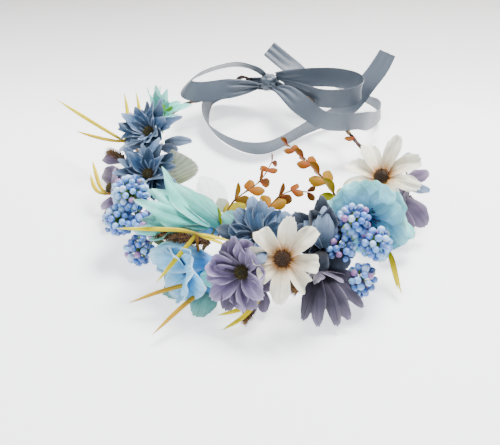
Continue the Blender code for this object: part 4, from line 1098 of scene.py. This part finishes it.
def sprig_shape(places, pairs, leaf_length, leaf_width, rng):
    """A stem, swollen where leaves leave it, and pairs of leaves that get smaller and redder to the tip."""
    route = smooth([place(*spot) for spot in places], 60)
    tangents = directions(route)
    level, rising = across(tangents)
    nodes = [len(route) - 1 - round(pair * len(route) / (pairs + 0.6)) for pair in range(pairs + 1)]
    share = np.linspace(1, 0.6, len(route))
    swell = sum(np.exp(-((np.arange(len(route)) - at) / 1.4) ** 2) for at in nodes)
    stem = tube(route, 0.6 * share * (1 + 0.5 * swell), 8, tone=1.0)
    shapes = [stem]
    for number, at in enumerate(nodes):
        red = 1 - number / max(pairs, 1)
        size = 0.6 + 0.8 * number / max(pairs, 1)
        for side in (-1, 1):
            skew = rng.uniform(-0.3, 0.3)
            apart, over = level[at], rising[at]
            if number % 2 == 0:
                apart, over = unit(rising[at] + 0.5 * level[at]), level[at]
            way = unit(side * apart * (0.8 + skew) + tangents[at] * (0.9 + skew))
            wide = np.cross(way, over + 0.3 * side * apart)
            root = route[at] + way * 0.4
            shapes.append(sprig_leaf(root, way, wide, leaf_length * size, leaf_width * size, 0.85 * red))
    return together(*shapes)


def sprig_finish(name, stops):
    """Moulded leaves: yellow-green where tone is 0, through orange, to red-brown where it is 1."""
    finish = Finish(name)
    colour = finish.ramp(finish.value("tone"), stops)
    along = finish.value("along")
    colour = finish.mix(finish.math("MULTIPLY", along, 0.25), colour, stops[0][1])
    colour = finish.tinted(colour, finish.noise(180, 3), 0.75, 1.25)
    spine = finish.span(finish.math("ABSOLUTE", finish.value("across")), 0.0, 0.15, 0.7, 1.0)
    colour = finish.tinted(colour, spine, 0.3, 1.0)
    return finish.done(Base_Color=colour, Roughness=0.6, Normal=finish.bump(finish.noise(700, 3), 0.0002),
                       Specular_IOR_Level=0.15)


def make_sprigs():
    """The sprigs in the ring, the leaf on the wire and the green sprig."""
    stops = [(0, (0.20, 0.26, 0.0)), (0.25, (0.28, 0.13, 0.0)), (0.5, (0.24, 0.032, 0.0)),
             (0.9, (0.15, 0.006, 0.0)), (1, (0.09, 0.015, 0.005))]
    finish = sprig_finish("eucalyptus", stops)
    length, width = sizes().leaf_length / MM, sizes().leaf_width / MM
    for index, (name, places, pairs) in enumerate(SPRIGS):
        rng = np.random.default_rng(400 + index)
        make(name + "_leaves", sprig_shape(places, pairs, length, width, rng), finish, [name])
    root, tip = (place(*spot) for spot in WIRE_LEAF)
    way = unit(tip - root)
    leaf = sprig_leaf(root + way * 1.2, way, np.cross(way, UP), length * 0.8, width * 0.8, 0.8)
    make("wire_leaf_blade", leaf, finish, ["wire_leaf"])
    name, places, pairs = GREEN_SPRIG
    green = sprig_finish("leaf_green", [(0, (0.05, 0.35, 0.05)), (1, (0.10, 0.30, 0.03))])
    shape = sprig_shape(places, pairs, length, width * 0.8, np.random.default_rng(9))
    make(name + "_leaves", shape, green, [name])


# The wire, the tape and the ribbon

def eye_points(end):
    """The points of an eye, bent up from the wire's end in the upright plane towards the knot."""
    forward = unit((place(*KNOT_PLACE) - end) * [1, 1, 0])
    radius = (EYE_BORE + WIRE_DIAMETER) / 2
    turn = np.radians(np.linspace(-60, EYE_END, 8))[:, None]
    return end + UP * radius + forward * radius * np.cos(turn) + UP * radius * np.sin(turn)


def wire_route():
    """The wire's centre line, eyes included."""
    ring = np.array([place(angle, out, RING_HEIGHT) for angle, out in WIRE_ROUTE])
    return np.vstack([eye_points(ring[0])[::-1], ring, eye_points(ring[-1])])


def make_wire():
    """The covered wire: two strands of bark twisted together, as a radius that varies round the tube."""
    line = smooth(wire_route(), 900)
    sides = 14
    turn = np.arange(sides) * 2 * math.pi / sides
    length = np.linspace(0, 1, len(line))[:, None]
    rng = np.random.default_rng(5)
    strand = np.abs(np.cos(turn - length * 190))
    lump = np.interp(length[:, 0] * 240, np.arange(241), rng.uniform(-1, 1, 241))[:, None]
    radii = sizes().wire / MM / 2 * (0.62 + 0.36 * strand + 0.14 * lump * np.cos(2 * turn + length * 60))
    shape = tube(line, radii, sides, tone=0.5)
    # The strand profile, kept as across, is the mask for the painted shade and painted light below.
    shape[2]["across"] = (strand + 0 * turn).ravel()
    finish = Finish("bark_wire")
    bark = tuple(colours().bark)
    colour = finish.mix(finish.span(finish.noise(110, 4), 0.5, 0.68), bark, (0.22, 0.13, 0.02))
    # Painted shade and painted light: darker in the grooves between the strands, lighter on their crests.
    colour = finish.tinted(colour, finish.value("across"), 0.35, 1.3)
    colour = finish.tinted(colour, finish.noise(700, 4), 0.5, 1.4)
    made = finish.done(Base_Color=colour, Roughness=0.55, Normal=finish.bump(finish.noise(900, 4), 0.0005))
    make("base_wire_bark", shape, made, ["base_wire"])


def make_tape():
    """The floral tape: a tube whose radius steps as the tape laps itself, turn after turn."""
    wire = ring_line()
    angles = np.degrees(np.unwrap(np.arctan2(wire[:, 1], wire[:, 0])))
    angles += 360 * round((WIRE_ROUTE[0][0] - angles[0]) / 360)
    line = smooth(wire[(angles > TAPE_FROM) & (angles < TAPE_TO)], 700)
    sides = 14
    turn = np.arange(sides) / sides
    steps = (np.arange(len(line))[:, None] / 12 + turn) % 1
    shape = tube(line, 2.0 + 0.45 * steps, sides, tone=0.4)
    shape[2]["across"] = steps.ravel()
    finish = plain_finish("floral_tape", [(0, (0.045, 0.07, 0.03)), (1, (0.055, 0.075, 0.03))], 250, 0.75)
    make("floral_tape_wrap", shape, finish, ["floral_tape"])


def ribbon_finish():
    """Satin: fine threads along the ribbon, a closer-woven edge, and a soft directional gloss."""
    finish = Finish("ribbon_satin")
    side = finish.value("across")
    colour = finish.tinted(tuple_colour(finish, colours().ribbon), finish.noise(60, 3), 0.9, 1.1)
    thread = finish.math("SINE", finish.math("MULTIPLY", side, 110.0))
    colour = finish.tinted(colour, finish.span(thread, -1, 1), 0.96, 1.04)
    edge = finish.span(finish.math("ABSOLUTE", side), 0.92, 0.97)
    colour = finish.tinted(colour, edge, 1.0, 0.8)
    weave = finish.math("ADD", finish.math("MULTIPLY", thread, 0.4), finish.noise(1500, 2))
    return finish.done(Base_Color=colour, Roughness=0.4, Normal=finish.bump(weave, 0.0001, 0.4),
                       Sheen_Weight=0.1, Sheen_Roughness=0.3, Anisotropic=0.5, Specular_IOR_Level=0.5)


def tuple_colour(finish, colour):
    """A colour as a node's output, so that other nodes can tint it."""
    made = finish.tree.nodes.new("ShaderNodeRGB")
    made.outputs[0].default_value = (*colour, 1)
    return made.outputs[0]


def ribbon_grid(rows, count):
    """A band along rows of place, width share and lean. Where it narrows, cosine pleats hold its width."""
    rows = smooth(rows, count)
    route, share, lean = rows[:, :3], np.clip(rows[:, 3], 0.22, 1), np.radians(rows[:, 4:5])
    tangents = directions(route)
    level, rising = across(tangents)
    wide = np.cos(lean) * level + np.sin(lean) * rising
    flat = np.cross(tangents, wide)
    s = np.linspace(-1, 1, 25)
    full = sizes().ribbon_width / MM
    steep = np.sqrt(np.maximum(1 / share**2 - 1, 0)) * 1.25
    depth = steep * full * share / (2 * math.pi * PLEATS * 1.3)
    pleat = depth[:, None] * np.cos(math.pi * PLEATS * s)
    crown_up = 0.35 * (1 - s**2) * share[:, None]
    middle = route[:, None] + wide[:, None] * (s * full / 2 * share[:, None])[..., None]
    middle = middle + flat[:, None] * (pleat + crown_up)[..., None]
    return middle, np.linalg.norm(np.diff(route, axis=0), axis=1).sum()


def sling_rows(eye_at):
    """A gathered band from the knot, round the near side of an eye's wire through its bore, and back."""
    knot = place(*KNOT_PLACE)
    forward = unit((knot - eye_at) * [1, 1, 0])
    side = np.cross(UP, forward)
    radius = (EYE_BORE + WIRE_DIAMETER) / 2
    centre = eye_at + UP * radius
    wrap = WIRE_DIAMETER / 2 + SLING_CLEARANCE
    turn = np.radians([-90, -130, -180, -230, -270])
    bends = [centre + forward * (radius + wrap * math.cos(t)) + side * wrap * math.sin(t) for t in turn]
    length = np.linalg.norm((knot - centre) * [1, 1, 0])
    there = centre + forward * (radius + (length - radius) * 0.5)
    points = [knot - side * wrap, there - side * wrap] + bends + [there + side * wrap, knot + side * wrap]
    return np.array([[*point, 0.36, 90] for point in points])


def make_ribbon_piece(name, rows, count, finish):
    """One stretch of the ribbon, made into a sheet."""
    middle, length = ribbon_grid(rows, count)
    along = np.broadcast_to(np.linspace(0, 1, len(middle))[:, None], middle.shape[:2])
    side = np.broadcast_to(np.linspace(-1, 1, middle.shape[1]), middle.shape[:2])
    shape = sheets(middle[None], sizes().ribbon_cloth / MM, along=along[None], across=side[None])
    piece = make(name + "_satin", shape, finish, [name], sharp=60)


def make_ribbon():
    """The tails and loops, the slings round the eyes, and the knot: a ball folded by two cosines."""
    finish = ribbon_finish()
    for name, held, points in RIBBON_RUNS:
        rows = np.array([[*place(*point[:3]), *point[3:]] for point in points])
        make_ribbon_piece(name, rows, 150, finish)
    for name, end in (("ribbon_left_sling", -1), ("ribbon_right_sling", 0)):
        angle, out = WIRE_ROUTE[end]
        rows = sling_rows(place(angle, out, RING_HEIGHT))
        make_ribbon_piece(name, rows, 90, finish)
    knot = place(*KNOT_PLACE)
    sides, rings = 48, 25
    around = np.linspace(0, 2 * math.pi, sides, endpoint=False)
    turn, rise = np.meshgrid(around, np.linspace(0.06, math.pi - 0.06, rings))
    fold = 1 + 0.10 * np.cos(5 * turn + 3 * np.cos(rise)) * np.sin(rise) + 0.06 * np.cos(9 * rise + turn)
    points = np.stack([np.sin(rise) * np.cos(turn), np.sin(rise) * np.sin(turn), np.cos(rise)], -1)
    points = knot + points * fold[..., None] * np.array(KNOT_SIZE) * 0.9
    last = (rings - 1) * sides
    faces = grid_quads(rings, sides, wrap=True).tolist()
    faces += [list(range(sides)), list(range(last, last + sides))[::-1]]
    values = {"along": (rise / math.pi).ravel(), "across": np.cos(5 * turn).ravel() * 0.9}
    shape = (points.reshape(-1, 3), faces, values)
    make("ribbon_knot_satin", shape, finish, ["ribbon_knot"], sharp=60)


# The stage

def make_stage():
    """A pale floor that sweeps up behind the crown, soft lights, and the camera."""
    scene = bpy.context.scene
    x = np.linspace(-3, 3, 3)
    t = np.linspace(0, 1, 60)
    bend = np.clip((t - 0.5) / 0.2, 0, 1) * math.pi / 2
    step = 5.0 / len(t)
    y = -2.4 + np.concatenate([[0], np.cumsum(np.cos(bend[:-1]) * step)])
    z = -0.0002 + np.concatenate([[0], np.cumsum(np.sin(bend[:-1]) * step)])
    grid = np.stack([np.broadcast_to(x, (60, 3)), np.broadcast_to(y[:, None], (60, 3)),
                     np.broadcast_to(z[:, None], (60, 3))], -1)
    mesh = bpy.data.meshes.new("floor")
    mesh.from_pydata(grid.reshape(-1, 3).tolist(), [], grid_quads(60, 3)[:, ::-1].tolist())
    mesh.shade_smooth()
    finish = Finish("floor")
    height = finish.node("ShaderNodeSeparateXYZ", {"Vector": finish.place()}, "Y")
    colour = finish.mix(finish.span(height, 0.08, 0.31), (0.90, 0.915, 0.94), (0.17, 0.153, 0.145))
    mesh.materials.append(finish.done(
        Base_Color=colour, Roughness=0.6, Emission_Color=colour, Emission_Strength=1.5))
    floor = bpy.data.objects.new("floor", mesh)
    scene.collection.objects.link(floor)

    world = bpy.data.worlds.new("studio")
    scene.world = world
    world.use_nodes = True
    world.node_tree.nodes["Background"].inputs["Color"].default_value = (0.93, 0.95, 1.0, 1)
    world.node_tree.nodes["Background"].inputs["Strength"].default_value = 0.3
    for name, at, size, power, colour in (
        ("key", (0.30, 0.55, 1.10), 0.5, 58.0, (1.0, 0.985, 0.96)),
        ("fill", (-0.9, -0.7, 0.9), 1.0, 14.0, (0.93, 0.96, 1.0)),
    ):
        light = bpy.data.lights.new(name, "AREA")
        light.size = size
        light.energy = power
        light.color = colour
        lamp = bpy.data.objects.new(name, light)
        lamp.location = at
        lamp.rotation_euler = (Vector((0, 0, 0.02)) - Vector(at)).to_track_quat("-Z", "Y").to_euler()
        scene.collection.objects.link(lamp)

    lens = bpy.data.cameras.new("camera")
    lens.lens = 50
    lens.sensor_width = 36
    camera = bpy.data.objects.new("camera", lens)
    camera.location = (-0.0081, -0.3643, 0.3185)
    aim = Vector((-0.0081, -0.0205, -0.0020))
    camera.rotation_euler = (aim - camera.location).to_track_quat("-Z", "Y").to_euler()
    scene.collection.objects.link(camera)
    scene.camera = camera


# The add-on

class CROWN_OT_stage(bpy.types.Operator):
    """Makes the floor, the lights and the camera"""

    bl_idname = "crown.stage"
    bl_label = "Stage"

    def execute(self, context):
        make_stage()
        return {"FINISHED"}


class CROWN_OT_wire(bpy.types.Operator):
    """Makes the bark-covered wire and the floral tape round it"""

    bl_idname = "crown.wire"
    bl_label = "Wire and tape"

    def execute(self, context):
        make_wire()
        make_tape()
        return {"FINISHED"}


class CROWN_OT_blossoms(bpy.types.Operator):
    """Makes each blossom's petals, centre and stem"""

    bl_idname = "crown.blossoms"
    bl_label = "Blossoms"

    def execute(self, context):
        finishes = make_finishes()
        make_blossoms(finishes)
        make_loose_petals(finishes)
        return {"FINISHED"}


class CROWN_OT_berries(bpy.types.Operator):
    """Makes the berry clusters"""

    bl_idname = "crown.berries"
    bl_label = "Berries"

    def execute(self, context):
        bud = plain_finish("bud_green", [(0, (0.10, 0.22, 0.04)), (1, (0.28, 0.42, 0.05))], 400, 0.6)
        make_berries({"bud": bud})
        return {"FINISHED"}


class CROWN_OT_spikes(bpy.types.Operator):
    """Makes the bristly spikes"""

    bl_idname = "crown.spikes"
    bl_label = "Spikes"

    def execute(self, context):
        make_spikes()
        return {"FINISHED"}


class CROWN_OT_leaves(bpy.types.Operator):
    """Makes the serrated leaf, the sprigs and the leaf on the wire"""

    bl_idname = "crown.leaves"
    bl_label = "Leaves and sprigs"

    def execute(self, context):
        leaf = cloth_finish("leaf_cloth", (0.13, 0.16, 0.08), (0.27, 0.31, 0.24), (0.50, 0.55, 0.46), 0.15)
        make_serrated_leaf({"leaf_cloth": leaf})
        make_sprigs()
        return {"FINISHED"}


class CROWN_OT_grass(bpy.types.Operator):
    """Makes the tufts of grass"""

    bl_idname = "crown.grass"
    bl_label = "Grass"

    def execute(self, context):
        make_grass()
        return {"FINISHED"}


class CROWN_OT_ribbon(bpy.types.Operator):
    """Makes the ribbon: tails, loops, slings and knot"""

    bl_idname = "crown.ribbon"
    bl_label = "Ribbon"

    def execute(self, context):
        make_ribbon()
        return {"FINISHED"}


OPERATORS = (
    CROWN_OT_stage, CROWN_OT_wire, CROWN_OT_blossoms, CROWN_OT_berries,
    CROWN_OT_spikes, CROWN_OT_leaves, CROWN_OT_grass, CROWN_OT_ribbon,
)


class CROWN_PT_panel(bpy.types.Panel):
    """Lists the crown's pieces, sizes and colours"""

    bl_idname = "CROWN_PT_panel"
    bl_label = "Flower crown"
    bl_space_type = "VIEW_3D"
    bl_region_type = "UI"
    bl_category = "Crown"

    def draw(self, context):
        column = self.layout.column(align=True)
        for operator in OPERATORS:
            column.operator(operator.bl_idname)
        for group in (context.scene.crown_sizes, context.scene.crown_colours):
            box = self.layout.box()
            for name in group.bl_rna.properties.keys():
                if name not in ("rna_type", "name"):
                    box.prop(group, name)


CLASSES = (CrownSizes, CrownColours, *OPERATORS, CROWN_PT_panel)


def register():
    """Makes the classes known and hangs the settings on the scene."""
    for made in CLASSES:
        bpy.utils.register_class(made)
    bpy.types.Scene.crown_sizes = bpy.props.PointerProperty(type=CrownSizes)
    bpy.types.Scene.crown_colours = bpy.props.PointerProperty(type=CrownColours)


def unregister():
    """Undoes what register did."""
    del bpy.types.Scene.crown_colours
    del bpy.types.Scene.crown_sizes
    for made in reversed(CLASSES):
        bpy.utils.unregister_class(made)


def main():
    """Builds the whole crown, in the order of the panel."""
    register()
    for step in (bpy.ops.crown.stage, bpy.ops.crown.wire, bpy.ops.crown.blossoms, bpy.ops.crown.berries,
                 bpy.ops.crown.spikes, bpy.ops.crown.leaves, bpy.ops.crown.grass, bpy.ops.crown.ribbon):
        step()


if __name__ == "__main__":
    main()
